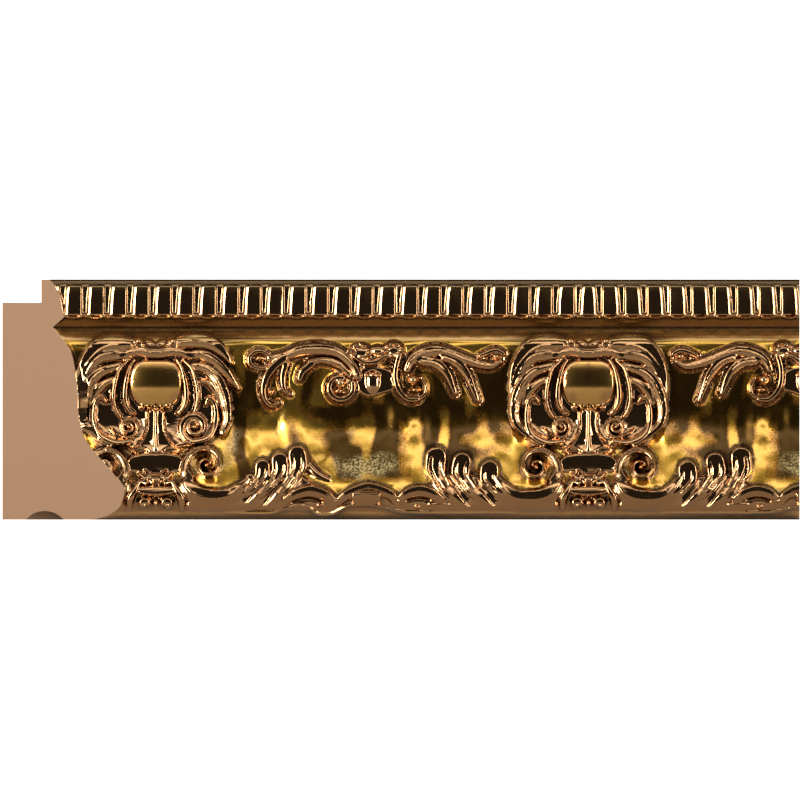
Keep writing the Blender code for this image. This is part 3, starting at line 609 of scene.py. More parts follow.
@dataclass
class Cartouche:
    """A domed shield in a moulded frame, between scrolled leaves, over a fluted clasp and a foot."""

    axis: float

    def carve_shield(self, relief: Relief) -> None:
        """Raises the domed shield, wide at the shoulder and narrower at the foot.

        Args:
            relief: The relief that it belongs to.
        """
        right = ((0, 53.6), (5.6, 53.3), (8.2, 50), (9, 45.5), (8.1, 41), (5.8, 38), (2.8, 37.2), (0, 37.6))
        left = tuple((-x, z) for x, z in reversed(right[1:-1]))
        outline = [(self.axis + x, z) for x, z in right + left]
        relief.panel(outline, 4.5, 0.7, peak=(self.axis, 47.8), falls=(0.018, 0.0245))

    def carve_frame(self, half: Half) -> None:
        """Raises one side of the plate, the frame round the shield, the cornice and its buds.

        Args:
            half: The side of the axis.
        """
        plate = ((-1, 57), (9, 60), (17, 59.5), (22, 55.5), (24.5, 49), (25, 42), (24, 34))
        half.panel(plate + ((20, 29), (13, 25), (5, 24), (-1, 24)), 1.3, 1.2)
        outer_rim = ((9.6, 53), (12, 50.6), (13.4, 46.8), (14.1, 43), (14.1, 39.8), (13.2, 36.6))
        outer_rim += ((11.8, 34.4),)
        half.ridge(outer_rim, (0.6, 0.8, 0.8, 0.6), (2.8, 3.9, 3.9, 2.8), flank=1.3)
        inner_rim = ((7, 53.4), (8.7, 50.6), (9.9, 46), (10.3, 42), (10, 39), (8.8, 36.8), (7.4, 35.6))
        half.ridge(inner_rim, (0.7, 1.0, 1.1, 0.8), (2.8, 3.4, 3.4, 2.8))
        cornice = ((-1, 55.5), (2, 55.6), (5, 56.2), (8.4, 55.8), (11, 54.4))
        half.ridge(cornice, (1.3, 1.3, 1.1, 0.8), (3.6, 3.6, 3.3, 2.7), Form.FACET, 1.9)
        half.ridge(((8, 55.6), (11, 55.2), (14.4, 54)), (0.6, 1.6, 0.8), (2.4, 3.2, 2.4))
        half.ridge(((-1, 56.9), (2.5, 57.4), (5, 58.8)), 0.9, (2.2, 2.4))
        half.dome((5.8, 59.8), 2.0, 1.7, 3.8)
        half.dome((3.9, 58.4), 1.0, 1.0, 3.2)
        half.dome((7.6, 58.3), 0.9, 0.9, 3.6)

    def carve_clasp(self, half: Half) -> None:
        """Raises one side of the fluted skirt below the shield, with the crescent under it.

        Args:
            half: The side of the axis.
        """
        skirt = ((-1, 36.5), (2.6, 36.4), (3, 33), (3.4, 29), (5.2, 25.8), (8.8, 23.4), (7, 22.1))
        half.panel(skirt + ((3.5, 21.7), (-1, 21.5)), 3.8, 0.8, peak=(0, 37), falls=(0, 0.018))
        half.ridge(((0, 36.6), (0, 30), (0, 23)), (0.6, 0.6, 1.0), (4.6, 3.8, 1.4))
        half.ridge(((2.8, 36.2), (3.0, 30), (5.4, 25.4), (8.6, 23.2)), 0.5, (4.5, 3.8, 2.4, 1.6))
        half.ridge(((-1, 21.9), (3.6, 22.1), (8, 22.6)), (0.6, 0.6, 0.4), (2.0, 1.8, 1.2))
        for out in (0.0, 2.2, 4.3):
            half.dome((out, 36.9 + 0.15 * out), 1.15, 1.1, 5.2)
        saddle = ((-1, 22), (7, 22), (9.6, 19.6), (9, 16.4), (4, 15.6), (-1, 15.6))
        half.panel(saddle, 3.4, 0.6, peak=(0, 25), falls=(0, 0.0375))

    def carve_foot(self, half: Half) -> None:
        """Raises one side of the foot: a rosette with leaf tips, a saddle, a leg and a curl.

        Args:
            half: The side of the axis.
        """
        half.dome((0, 13.6), 2.9, 2.0, 3.0, power=0.4)
        half.cut(scroll((0, 13.6), 2.0, 0, 0.5, 1.0, squash=0.62), 0.45, 0.8)
        half.ridge(((2.3, 15), (3.6, 16.6)), (1.1, 0.6), (2.6, 1.4))
        half.ridge(((3.2, 13.9), (5.4, 15.6)), (1.1, 0.6), (2.6, 1.4))
        half.ridge(((3.3, 12.6), (6.2, 13.4)), (1.1, 0.7), (2.6, 1.6))
        half.panel(((-1, 11.4), (4, 11.6), (6.4, 11), (6.2, 8.8), (3, 7.9), (-1, 8)), 2.0, 1.2)
        leg = ((5.6, 12.8), (6.9, 10), (8.4, 7.2), (8.7, 3.8))
        half.ridge(leg, (1.0, 1.1, 1.3, 1.0), (2.6, 2.6, 2.2, 1.4))
        half.ridge(scroll((4.0, 5.4), 1.7, 180, 1.5, 0.8), (0.8, 0.6), (2.4, 2.6))
        half.dome((0, 5.4), 1.1, 1.8, 2.2)
        half.dome((1.9, 6.9), 0.8, 0.8, 2.0)

    def carve_lower_scroll(self, half: Half, centre: Point, radius: float, tail: Points) -> None:
        """Raises the big scroll at the outer edge, whose band runs out into the first lobe.

        Args:
            half: The side of the axis.
            centre: The scroll's eye.
            radius: Its radius where the band comes in from the axis side.
            tail: The band's points up to there.
        """
        winding = scroll(centre, radius, 215, 1.55, 0.76)[::-1]
        half.ridge(winding, (0.4, 0.5, 0.6, 0.8, 1.0), (3.4, 4.2, 4.4, 3.4, 2.6), Form.FACET, 2.0, 0.35)
        band = winding[-3:] + list(tail)[::-1]
        halves, heights = (0.8, 1.8, 2.3, 2.3, 2.0, 1.6, 0.9), (2.6, 2.8, 2.9, 2.9, 3.0, 3.2)
        half.ridge(band, halves, heights, Form.FACET, 1.9, 0.15)
        half.dome(centre, 1.3, 1.3, 3.4)

    def carve_lobe(self, half: Half, line: Points, wide: float, tall: float) -> None:
        """Raises one lobe of a row, with a full round head and a tail that thins to the edge.

        Args:
            half: The side of the axis.
            line: The lobe's middle line, from its head.
            wide: Half its width at the head.
            tall: Its height at the head.
        """
        half.ridge(line[:3], (wide, wide, 0.7 * wide, 0.4 * wide), (tall, 0.6 * tall, 0.4 * tall), lean=0.4)
        heights = (1.6, 0.45 * tall, 0.5 * tall, 0.5 * tall)
        half.ridge(line[::-1], (0.4, 0.4 * wide, 0.5 * wide, 0.45 * wide), heights, Form.FACET, 2.0)
        for side in (-0.45, 0.42):
            half.cut([(out + side * wide, up) for out, up in line[:3]], (0.2, 0.4, 0.3), (0.2, 0.6, 0.5))

    def carve_ground_band(self, half: Half, end: float) -> None:
        """Raises the low smooth band that the lobes and the scroll run down onto.

        Args:
            half: The side of the axis.
            end: How far out from the axis it reaches.
        """
        top = ((11.5, 7.2), (16, 8.5), (24, 8), (31, 12), (38, 15), (46, 16), (52, 13), (end, 9))
        half.panel(top + ((end, 3.2), (32, 3.2), (11.5, 3.2)), 1.1, 1.0)

    def carve_near_side(self, half: Half) -> None:
        """Raises the leaves with the small upper volute and three even lobes.

        Args:
            half: The side of the axis.
        """
        outer = ((7.5, 57.8), (12.5, 58.1), (16.1, 57.7), (19, 56.2), (22, 53.2), (24.2, 49.6), (25.2, 45.4))
        outer += ((25.4, 41.5), (24.9, 36))
        halves, heights = (1.9, 2.8, 2.8, 1.9, 1.1, 0.8, 0.6), (2.4, 3.3, 3.5, 3.2, 2.8, 2.2, 1.4)
        half.ridge(outer, halves, heights, Form.FACET, 1.05)
        middle = ((9.5, 54.8), (14.5, 55.2), (18.6, 54.3), (21.4, 51.6), (23.4, 47.6), (24.4, 43.4))
        half.ridge(middle, (1.0, 1.3, 1.3, 1.0, 0.7), (2.6, 3.5, 3.6, 3.2, 2.2), Form.FACET, 2.6)
        second = ((11.8, 51.6), (14.7, 50.6), (18.4, 49.2), (21, 46.8), (22.9, 43.4), (24.2, 39.4))
        second += ((24.6, 35.4), (23.6, 32), (21.2, 29.6), (18.4, 27.4), (15.4, 25.4))
        halves, heights = (0.9, 1.3, 1.5, 1.5, 1.3, 1.1, 1.0, 0.9), (2.8, 3.9, 4.1, 4.0, 3.6, 3.2, 2.8)
        half.ridge(second, halves, heights, Form.FACET, 1.9)
        third = ((13.6, 47), (17, 45.4), (19.8, 42.4), (21.4, 39))
        half.ridge(third, (0.9, 1.2, 0.8), (3.0, 3.5, 2.6), Form.FACET, 1.8)
        hook = ((16.6, 39.4), (17.6, 40.7), (19.2, 40.6), (20.3, 38.6), (20.7, 35.2), (20.5, 32))
        hook += ((19.4, 29.4), (16.8, 27.2), (13.6, 26), (10.8, 26), (8.2, 26.4))
        halves, heights = (0.7, 0.9, 0.9, 1.0, 1.1, 1.2, 1.1, 0.9), (3.0, 3.7, 3.8, 3.8, 3.6, 3.2, 2.8)
        half.ridge(hook, halves, heights, flank=1.1)
        coil = [(15, 30.4), (13.4, 28.9)] + scroll((9.1, 31.1), 3.6, -60, 1.75, 0.84)
        half.ridge(coil, (0.4, 0.8, 0.8, 0.75, 0.65, 0.6), (2.4, 3.6, 3.9, 3.9, 3.7, 3.5))
        half.dome((9.1, 31.1), 1.1, 1.1, 3.6)
        self.carve_ground_band(half, 56)
        self.carve_lobe(half, ((50.8, 21), (50.9, 17), (48.4, 11.4), (44, 7), (40, 4.2)), 3.7, 5.4)
        self.carve_lobe(half, ((42.2, 19.4), (42.6, 15.6), (39.8, 10.8), (35.4, 7), (31.6, 4.4)), 3.4, 5.2)
        self.carve_lobe(half, ((33, 16.8), (33, 13.6), (29.8, 9.4), (25.6, 6.4), (22.4, 4.6)), 3.4, 4.4)
        half.cut(((52.4, 20.6), (52.6, 16.4), (49.6, 10.6), (45, 6.4)), (0.4, 0.6, 0.5), (0.5, 0.8, 0.4))
        tail = ((31.6, 15), (28.6, 10.8), (24.8, 7.6), (19.6, 6.8), (14.4, 7.6), (10.9, 10.4))
        self.carve_lower_scroll(half, (17.4, 17.8), 8.0, tail)

    def carve_far_side(self, half: Half) -> None:
        """Raises the leaves with the large upper volute, the split leaf and four stepped lobes.

        Args:
            half: The side of the axis.
        """
        upper = ((5.2, 58.4), (9.5, 59.2), (14, 59.4), (18.6, 58.4), (22.2, 55.8), (25, 52.4))
        half.ridge(upper, (1.4, 2.0, 2.0, 1.6, 0.6), (2.4, 3.4, 3.2, 2.0), Form.FACET, 1.5)
        split = ((10.5, 55), (15, 55.2), (19.4, 53.2), (23, 49.8), (25.4, 46.8), (27.6, 43.8))
        half.ridge(split, (0.9, 1.4, 1.2, 0.6), (2.6, 3.6, 3.2, 1.6), Form.FACET, 2.0)
        second = ((12.6, 51.4), (16.4, 50.8), (20.2, 47.6), (22.5, 43), (23.7, 38), (24, 33.4), (22.4, 29.4))
        half.ridge(second, (0.9, 1.3, 1.4, 1.1, 0.8), (2.8, 4.0, 4.0, 2.8), Form.FACET, 2.6)
        third = ((14.4, 46.2), (17.4, 45.6), (20, 42.4), (21.4, 38.4))
        half.ridge(third, (0.6, 0.8, 0.6), (2.4, 2.8, 2.2), Form.FACET, 2.0)
        hook = ((16.8, 38.6), (17.8, 40.6), (19.6, 38.8), (20.2, 35), (19.6, 31), (17.4, 27.6))
        line = list(hook) + scroll((12.9, 31.2), 4.9, -90, 1.7, 0.85)
        half.ridge(line, (0.8, 1.2, 1.3, 1.3, 1.1, 0.9, 0.7), (2.6, 3.2, 3.6, 3.4, 3.2))
        half.dome((12.9, 31.2), 1.5, 1.5, 3.3)
        self.carve_ground_band(half, 60)
        self.carve_lobe(half, ((47.2, 21.8), (47.4, 17.4), (44.2, 12), (40.4, 8), (36.6, 4.6)), 3.3, 5.4)
        self.carve_lobe(half, ((41.3, 19.8), (41.2, 16), (37.8, 11.4), (34, 8), (30.6, 5.6)), 3.1, 5.0)
        self.carve_lobe(half, ((35.6, 17.8), (35.3, 14.8), (32.4, 11.2), (29, 8.8), (26.4, 7.2)), 2.8, 4.4)
        self.carve_lobe(half, ((31.4, 14), (30.4, 12), (28, 9.8), (25.6, 8.4), (23.6, 7.6)), 1.8, 3.2)
        trailing = ((48.4, 22.4), (51, 18.6), (54, 15.6), (57.6, 13.8))
        half.ridge(trailing, (2.4, 2.2, 1.2), (2.6, 1.6, 0.5), Form.SOFT)
        tail = ((30.4, 13), (27.4, 10.2), (24, 8), (19.2, 7.2), (14.2, 8), (10.6, 10.8))
        self.carve_lower_scroll(half, (16.9, 18.4), 8.0, tail)

    def carve(self, relief: Relief, whole: bool) -> None:
        """Raises the cartouche.

        Args:
            relief: The relief that it belongs to.
            whole: Whether its right side is made too, or comes by mirroring.
        """
        left = Half(relief, self.axis, Hand.LEFT)
        right = Half(relief, self.axis, Hand.RIGHT)
        self.carve_near_side(left)
        self.carve_shield(relief)
        if whole:
            self.carve_far_side(right)
        for half in (left, right) if whole else (left,):
            self.carve_frame(half)
            self.carve_clasp(half)
            self.carve_foot(half)


@dataclass
class Garland:
    """The running ornament between two cartouches, under the bead row."""

    axis: float

    def carve_left_branch(self, bay: Half) -> None:
        """Raises an arch with a curl, fingers and a volute.

        Args:
            bay: The side of the first cartouche's axis that it runs along.
        """
        arch = ((38, 53.8), (43, 54.6), (48.2, 56.4), (54.6, 56.9), (60.6, 55.8), (65, 52.2), (67.2, 48))
        bay.rimmed(arch, (0.9, 1.3, 1.4, 1.2, 1.0), (1.8, 2.5, 2.5, 2.2), flank=1.9)
        underside = ((51.6, 52.6), (56, 53.2), (61, 51.8), (64.4, 48.4))
        bay.rimmed(underside, (0.8, 1.0, 0.8), (1.8, 2.3, 1.8), flank=1.7)
        tip = ((38.6, 54), (36.2, 56), (33.4, 56.2), (31.3, 54.2), (31.8, 51.8), (34.2, 50.6), (37, 50.8))
        bay.rimmed(tip, (0.8, 1.0, 1.0, 0.8), 2.0, rim=0.6)
        bay.dome((34.4, 54), 1.4, 1.2, 1.8)
        curl = ((42.6, 54), (39, 50.8), (36.6, 46.8), (35.9, 42.8), (36.9, 39.4), (39, 38), (40.8, 39))
        bay.rimmed(curl, (1.6, 1.6, 1.3, 1.0, 0.8), (2.4, 2.4, 2.2, 1.8), rim=0.8)
        bay.dome((38.6, 42.6), 1.3, 1.3, 1.9)
        bay.rimmed(((43.4, 52), (42.4, 48), (42.8, 43.8), (44.6, 42)), (1.3, 1.2, 0.7), (2.0, 1.4), rim=0.8)
        bay.rimmed(((52, 52.2), (49.2, 49.8), (48, 47.2)), (1.4, 1.4, 1.1), (2.0, 2.2, 1.8), rim=0.9)
        bay.rimmed(scroll((61.6, 44.2), 4.4, 20, 0.85, 0.93), (1.1, 1.2, 0.9), (2.0, 2.2, 2.0))
        bay.dome((61.6, 45.8), 2.1, 1.9, 2.6)
        bay.dome((61.0, 43), 1.9, 0.9, 2.0)

    def carve_crest(self, bay: Half) -> None:
        """Raises a crest of three lumps over a small shell.

        Args:
            bay: The side of the first cartouche's axis that it runs along.
        """
        bay.dome((68.4, 56), 4.4, 3.4, 2.9)
        bay.dome((79.4, 56.8), 4.0, 3.2, 2.9)
        bay.dome((74, 56.4), 3.0, 2.2, 2.2)
        berries = 6
        for out, up in ((68.6, 56.2), (79.2, 56.8)):
            for berry in range(berries):
                angle = math.radians(360 / berries * berry + 20)
                bay.dome((out + 2.5 * math.cos(angle), up + 1.8 * math.sin(angle)), 0.9, 0.8, 3.5)
        lip = ((66.4, 54.4), (69.6, 52.6), (73.6, 52.8), (76.6, 54.6), (79.4, 54.6))
        bay.rimmed(lip, (0.9, 1.1, 0.8), 2.6, rim=0.6)
        bay.cut(((65.6, 57), (67.4, 58.2), (69.6, 57.6)), 0.5, 0.9)
        bay.cut(((77, 57.6), (79.4, 58.4), (81.4, 57.4)), 0.5, 0.9)
        bay.dome((72.4, 46.2), 3.0, 4.6, 2.0)
        for out in (-1.8, 0.0, 1.8):
            bay.dome((72.4 + out, 48.8 - 0.25 * abs(out)), 0.8, 0.9, 2.6)
        apron = ((66.6, 48), (69, 51), (76, 51), (80, 48), (79.4, 43.6), (76, 42.2), (71.6, 41), (68, 42.6))
        bay.panel(apron, 0.9, 0.7)

    def carve_right_branch(self, bay: Half) -> None:
        """Raises a stem, a volute, an arch and two long fingers.

        Args:
            bay: The side of the first cartouche's axis that it runs along.
        """
        stem = ((81.4, 55.4), (80.2, 51.2), (80, 46.8), (81.4, 42.8), (84.2, 40.2), (87.4, 40.2))
        bay.rimmed(stem, (1.1, 1.1, 1.2, 0.9), (2.6, 2.4, 2.2))
        bay.dome((85.8, 46.8), 2.1, 1.9, 2.6)
        bay.dome((86.6, 43.4), 1.9, 0.9, 2.0)
        bay.ridge(((87.4, 40.2), (89.6, 41.8), (90.2, 44.6), (88.8, 47.4)), (0.9, 0.8), (2.0, 1.8))
        arch = ((84, 50.2), (85.6, 53.2), (89, 55.4), (94, 56.2), (99, 55), (103.6, 53.2), (108, 51.8))
        arch += ((112, 51.2), (115, 52.8))
        bay.rimmed(arch, (1.0, 1.4, 1.5, 1.3, 1.2, 1.1, 0.7), (2.0, 2.5, 2.5, 2.0), rim=0.9, flank=1.6)
        finger = ((88.4, 52.8), (93.6, 51.8), (96.8, 48.6), (98.6, 44.8), (99.6, 42.4))
        bay.rimmed(finger, (1.3, 1.5, 1.2, 0.8), (2.3, 2.4, 1.6), flank=1.3)
        finger = ((96, 54), (100, 52.4), (103.4, 48.6), (105.5, 43.8), (107.1, 40))
        bay.rimmed(finger, (1.2, 1.4, 1.1, 0.8), (2.5, 1.6), flank=1.3)
        tip = ((108, 54.6), (111, 56), (113.8, 56.6), (116, 55.4))
        bay.rimmed(tip, (0.8, 1.1, 0.9), (1.6, 2.0, 1.6), rim=0.7)
        bay.dome((113.4, 54.6), 1.8, 1.2, 2.4)

    def carve(self, relief: Relief) -> None:
        """Raises the whole garland.

        Args:
            relief: The relief that it belongs to.
        """
        bay = Half(relief, self.axis, Hand.RIGHT)
        self.carve_left_branch(bay)
        self.carve_crest(bay)
        self.carve_right_branch(bay)


@dataclass
class Rail:
    """The waved rail along the outer edge between two rows of lobes."""

    axis: float

    def carve(self, relief: Relief) -> None:
        """Raises three humps over a low band with a plaque and a bar, above a waved line.

        Args:
            relief: The relief that it belongs to.
        """
        bay = Half(relief, self.axis, Hand.RIGHT)
        humps = (
            ((43.4, 6.6), (47.4, 8.6), (51.4, 9.6), (56, 8.4), (59.8, 5.8)),
            ((60.6, 5.8), (64.8, 8.8), (71.2, 10.6), (77.6, 8.7), (80.1, 6.3)),
            ((80.9, 6.3), (84.2, 8.8), (87.8, 9.6), (91, 9.1), (95.2, 6.8)),
        )
        for hump in humps:
            bay.ridge(hump, (1.0, 1.3, 1.5, 1.3, 1.0), (2.4, 3.2, 3.4, 3.2, 2.4), Form.FACET, 2.2, 0.42)
        top = ((44, 8), (51, 10), (58, 7.4), (60.2, 6.6), (65, 9), (71, 11), (77, 9), (80.5, 7.2), (88, 10))
        wave = ((23.2, 2.7), (37.2, 2.3), (44.2, 4), (47.8, 4.7), (51.2, 4), (53.5, 2.3), (55.8, 1.7))
        wave += ((58.8, 2), (61.5, 3.3), (64.2, 4.7), (68.2, 5.1), (72.8, 5), (76.2, 4.3), (79.2, 3.3))
        wave += ((88.5, 2.5), (120, 2.6))
        foot = wave[-2:2:-1]
        bay.panel(top + ((95, 8),) + foot, 1.1, 1.0)
        plaque = ((65.6, 9), (70, 9.2), (74.8, 9), (74.8, 5.6), (70, 5.4), (65.6, 5.6))
        bay.panel(plaque, 3.6, 0.4, peak=(70, 9.5), falls=(0, 0.08))
        bay.ridge(wave, 0.5, (0.6, 1.2, 1.7, 1.7, 1.6, 0.9, 0.5), Form.FACET, 1.6)
        bay.cut(((45.4, 5.8), (48.6, 7), (52, 7.2), (55.4, 6)), 0.4, 0.8)
        bay.cut(((83.6, 6.4), (87.4, 7.4), (91.6, 6.8)), 0.4, 0.8)
        for out, up in ((54.8, 4.7), (59.9, 6.3), (81.0, 6.4), (87.2, 4.3)):
            bay.dome((out, up), 0.9, 0.7, 3.2)
        bay.ridge(((91.4, 5.1), (97.4, 5.0)), 0.7, 1.6)


@dataclass(frozen=True)
class Swellings:
    """Smooth random unevenness, with the length, the height and the strength of its swellings."""

    length: float
    height: float
    strength: float
    seed: int

    def at(self, along: np.ndarray, up: np.ndarray) -> np.ndarray:
        """Reads the unevenness at places given along the strip and up."""
        return self.strength * lattice_noise(along / self.length, up / self.height, self.seed)


@dataclass(frozen=True)
class FrostedPatch:
    """A leaning oval where the foil is frosted, out from the first cartouche's axis, in millimetres."""

    out: float
    up: float
    half_along: float
    half_up: float
    amount: float
    lean: float = 0.25


@dataclass
class Carving:
    """All of the ornament, and the fine unevenness of the pressed ground, in millimetres.

    The ornament is worked out up to the mirror line, and goes on past it the other way round. Near the
    bevelled end the face stands in front of the section's outline by no more than the bevel slope times
    the distance from the end, so that the end shows the plain section.
    """

    section: Section
    repeat: float = 144.3
    mirror_line: float = 195.5
    start: float = 5.0
    step: float = 0.17
    softening: float = 0.1
    tone_height: float = 0.35
    hollow_reach: float = 1.1
    shield_middle: float = 45.5
    shield_half_along: float = 9.0
    shield_half_up: float = 8.5
    shield_gold: float = 0.45
    cove_top: float = 58.0
    slope_foot: float = 59.6
    slope_top: float = 67.5
    bead_top: float = 77.0
    outer_edge: float = 3.0
    rail_top: float = 9.0
    ornament_foot: float = 12.5
    bevel_slope: float = 0.85
    warp: Swellings = Swellings(9, 8, 1.4, 7)
    fingers: Swellings = Swellings(6.0, 24, 0.9, 3)
    dents: Swellings = Swellings(4.4, 6.0, 0.35, 5)
    skin: Swellings = Swellings(0.9, 1.1, 0.02, 8)
    drawn_lines: Swellings = Swellings(40, 0.5, 0.035, 9)
    frost_edge: Swellings = Swellings(2.5, 2.0, 0.35, 11)
    # The ground's painted reflection: the noises of its dark fingers and patches.
    reflection_fingers: Swellings = Swellings(4.2, 15, 1.5, 13)
    reflection_patches: Swellings = Swellings(7.0, 4.5, 0.6, 17)
    frosted: Sequence[FrostedPatch] = (
        FrostedPatch(69.8, 17.8, 12.5, 5.2, 1.0),
        FrostedPatch(25.2, 23.5, 2.6, 8.0, 0.5),
        FrostedPatch(41.6, 32.4, 1.3, 6.0, 0.5),
        FrostedPatch(65.4, 29.0, 1.1, 3.0, 0.4),
    )
    relief: Relief = field(init=False)
    tone: np.ndarray = field(init=False)
    hollow: np.ndarray = field(init=False)

    def carve(self) -> None:
        """Works the whole ornament out, and how raised and how hollow each place is."""
        relief = Relief(self.step, self.mirror_line, self.start, self.section)
        first = self.mirror_line - self.repeat
        BeadRow().carve(relief)
        Cartouche(first).carve(relief, whole=True)
        Cartouche(self.mirror_line).carve(relief, whole=False)
        Garland(first).carve(relief)
        Rail(first).carve(relief)
        relief.raise_rims()
        relief.rise = relief.blurred(relief.rise, self.softening)
        self.relief = relief
        self.tone = np.clip(relief.rise / self.tone_height, 0, 1)
        above = (relief.up - self.shield_middle)[:, None] / self.shield_half_up
        for axis in (first, self.mirror_line):
            apart = ((relief.along - axis)[None, :] / self.shield_half_along) ** 2 + above**2
            self.tone *= 1 - self.shield_gold * np.clip(4 * (1 - apart), 0, 1)
        # How far each place lies below its surroundings; the foil is darkened there as painted shade.
        self.hollow = relief.blurred(relief.rise, self.hollow_reach) - relief.rise

    def ground_lumps(self, along: np.ndarray, up: np.ndarray) -> np.ndarray:
        """Works out the gentle unevenness of the pressed ground, which fades near the cartouches.

        Args:
            along: Distances from the left end of the back.
            up: Heights above the outer edge.

        Returns:
            One height for each place.
        """
        finger_level, finger_reach, dented_below = 29, 8, 48
        folded = self.relief.folded(along)
        warp = self.warp.at(folded, up)
        fingers = self.fingers.at(folded + warp, up) * np.exp(-(((up - finger_level) / finger_reach) ** 2))
        dents = self.dents.at(folded - warp, up + warp) * (0.2 + 0.8 * ramped(up, dented_below, -12))
        from_axis = np.abs((folded - self.mirror_line + self.repeat / 2) % self.repeat - self.repeat / 2)
        within = ramped(up, self.cove_top, -3) * ramped(up, 0, 9) * np.clip((from_axis - 8) / 6, 0.1, 1)
        return (fingers + dents + self.skin.at(folded, up)) * within

    def satin(self, up: np.ndarray) -> np.ndarray:
        """Works out how far the lacquer dulls the foil, on the slope under the lip and at both edges.

        Args:
            up: Heights above the outer edge.

        Returns:
            One value from 0 to 1 for each place.
        """
        slope = ramped(up, self.slope_foot, 0.5) * ramped(up, self.slope_top, -0.5)
        edges = np.maximum(ramped(up, self.outer_edge, -0.6), ramped(up, self.bead_top, 0.8))
        return np.maximum(slope, edges)

    def neck(self, up: np.ndarray) -> np.ndarray:
        """Works out where shade is painted in bands: under the lip, over the bead row and on the outer edge.

        Args:
            up: Heights above the outer edge.

        Returns:
            One value for each place, 0 where there is none.
        """
        neck_foot, neck_top = 63.4, 67.6
        under = ramped(up, neck_foot, 0.8) * ramped(up, neck_top, -0.4)
        over = 1.2 * ramped(up, self.bead_top, 0.6)
        return np.maximum(np.maximum(under, over), 0.25 * ramped(up, self.outer_edge, -0.6))

    def frost(self, along: np.ndarray, up: np.ndarray) -> np.ndarray:
        """Works out how frosted the foil is: a patch over the middle of the rail, and pale streaks.

        Args:
            along: Distances from the left end of the back.
            up: Heights above the outer edge.

        Returns:
            One value from 0 to 1 for each place.
        """
        out = self.relief.folded(along) - (self.mirror_line - self.repeat)
        ragged = self.frost_edge.at(out, up)
        frosted = np.zeros_like(up)
        for patch in self.frosted:
            across = (out - patch.out - patch.lean * (up - patch.up)) / patch.half_along
            spot = 1 - across**2 - ((up - patch.up) / patch.half_up) ** 2 + ragged
            frosted = np.maximum(frosted, patch.amount * np.clip(1.1 * spot, 0, 0.9))
        return frosted

    def painted_reflection(self, along: np.ndarray, up: np.ndarray) -> np.ndarray:
        """Works out the ground's painted dark reflection: full high in the cove, then in ragged fingers.

        Args:
            along: Distances from the left end of the back.
            up: Heights above the outer edge.

        Returns:
            One value from 0 to 1 for each place.
        """
        # Painted reflection: dark high in the cove and over the middle of the rail, yellow fingers between.
        rail_out, rail_half_along, rail_up, rail_half_up = 69, 17, 19, 5.5
        folded = self.relief.folded(along)
        ragged = self.reflection_fingers.at(folded + self.warp.at(folded, up), up)
        out = folded - (self.mirror_line - self.repeat) - rail_out
        over_rail = 0.9 * np.exp(-((out / rail_half_along) ** 4) - ((up - rail_up) / rail_half_up) ** 4)
        level = np.clip((up - 25) / 13, -0.35, 0.45) + over_rail
        painted_dark = 0.4 + level + ragged + self.reflection_patches.at(folded, up)
        return np.clip(painted_dark, 0, 1) * ramped(up, self.ornament_foot, 2)

    def foil_layers(self, along: np.ndarray, up: np.ndarray) -> dict[str, np.ndarray]:
        """Works out what the foil's material reads at each place.

        Args:
            along: Distances from the left end of the back.
            up: Heights above the outer edge.

        Returns:
            Each layer's name, with one value for each place.
        """
        tone = self.relief.sample(self.tone, along, up)
        tone = np.maximum(tone, ramped(up, self.slope_foot + 0.2, 0.6))
        bare = 1 - tone
        return {
            "tone": np.maximum(tone, ramped(up, self.rail_top, -2)),
            # The hollow layer carries painted shade, in recesses and in bands; the last layer a painted
            # reflection.
            "hollow": self.relief.sample(self.hollow, along, up) + 1.2 * self.neck(up),
            "satin": self.satin(up),
            "frost": self.frost(along, up) * bare,
            "painted_reflection": self.painted_reflection(along, up) * bare * ramped(up, self.cove_top - 0.5, -1.5),
        }

    def depth_at(self, along: np.ndarray, up: np.ndarray) -> np.ndarray:
        """How far the carved face stands in front of the back.

        Args:
            along: Distances from the left end of the back.
            up: Heights above the outer edge.

        Returns:
            One depth for each place, smooth where the left end is cut.
        """
        cut = self.section
        raised_from, drawn_foot, drawn_top = 0.9, 58.9, 64.2
        table = cut.face_table(cut.lip_ground, cut.cove_ground)
        plain = np.interp(up, table[:, 0], table[:, 1])
        table = cut.face_table(cut.lip_cut, cut.cove_cut)
        outline = np.interp(up, table[:, 0], table[:, 1])
        inward = ramped(along, outline, cut.cut_blend)
        carved = inward**2 * (3 - 2 * inward)
        rise = self.relief.sample(self.relief.rise, along, up)
        flat = 1 - ramped(rise, 0, raised_from)
        rise = rise + self.ground_lumps(along, up) * (0.2 + 0.8 * flat)
        slope = ramped(up, drawn_foot, 0.6) * ramped(up, drawn_top, -0.5)
        rise = rise + slope * self.drawn_lines.at(along, up)
        depth = carved * (plain + rise) + (1 - carved) * outline
        return np.minimum(depth, outline + self.bevel_slope * np.clip(along - outline, 0, None))


def lattice_noise(x: np.ndarray, y: np.ndarray, seed: int) -> np.ndarray:
    """Smooth random heights between -1 and 1, one lattice cell to a unit.

    Args:
        x: First coordinates.
        y: Second coordinates.
        seed: Which of the random lattices is used.

    Returns:
        One height for each place.
    """
    size = 128
    table = np.random.default_rng(seed).uniform(-1, 1, (size, size))
    xi, yi = np.floor(x).astype(int), np.floor(y).astype(int)
    tx, ty = x - xi, y - yi
    tx, ty = (t**3 * (t * (6 * t - 15) + 10) for t in (tx, ty))
    corner = [table[(yi + j) % size, (xi + i) % size] for j in (0, 1) for i in (0, 1)]
    low = corner[0] * (1 - tx) + corner[1] * tx
    high = corner[2] * (1 - tx) + corner[3] * tx
    return low * (1 - ty) + high * ty


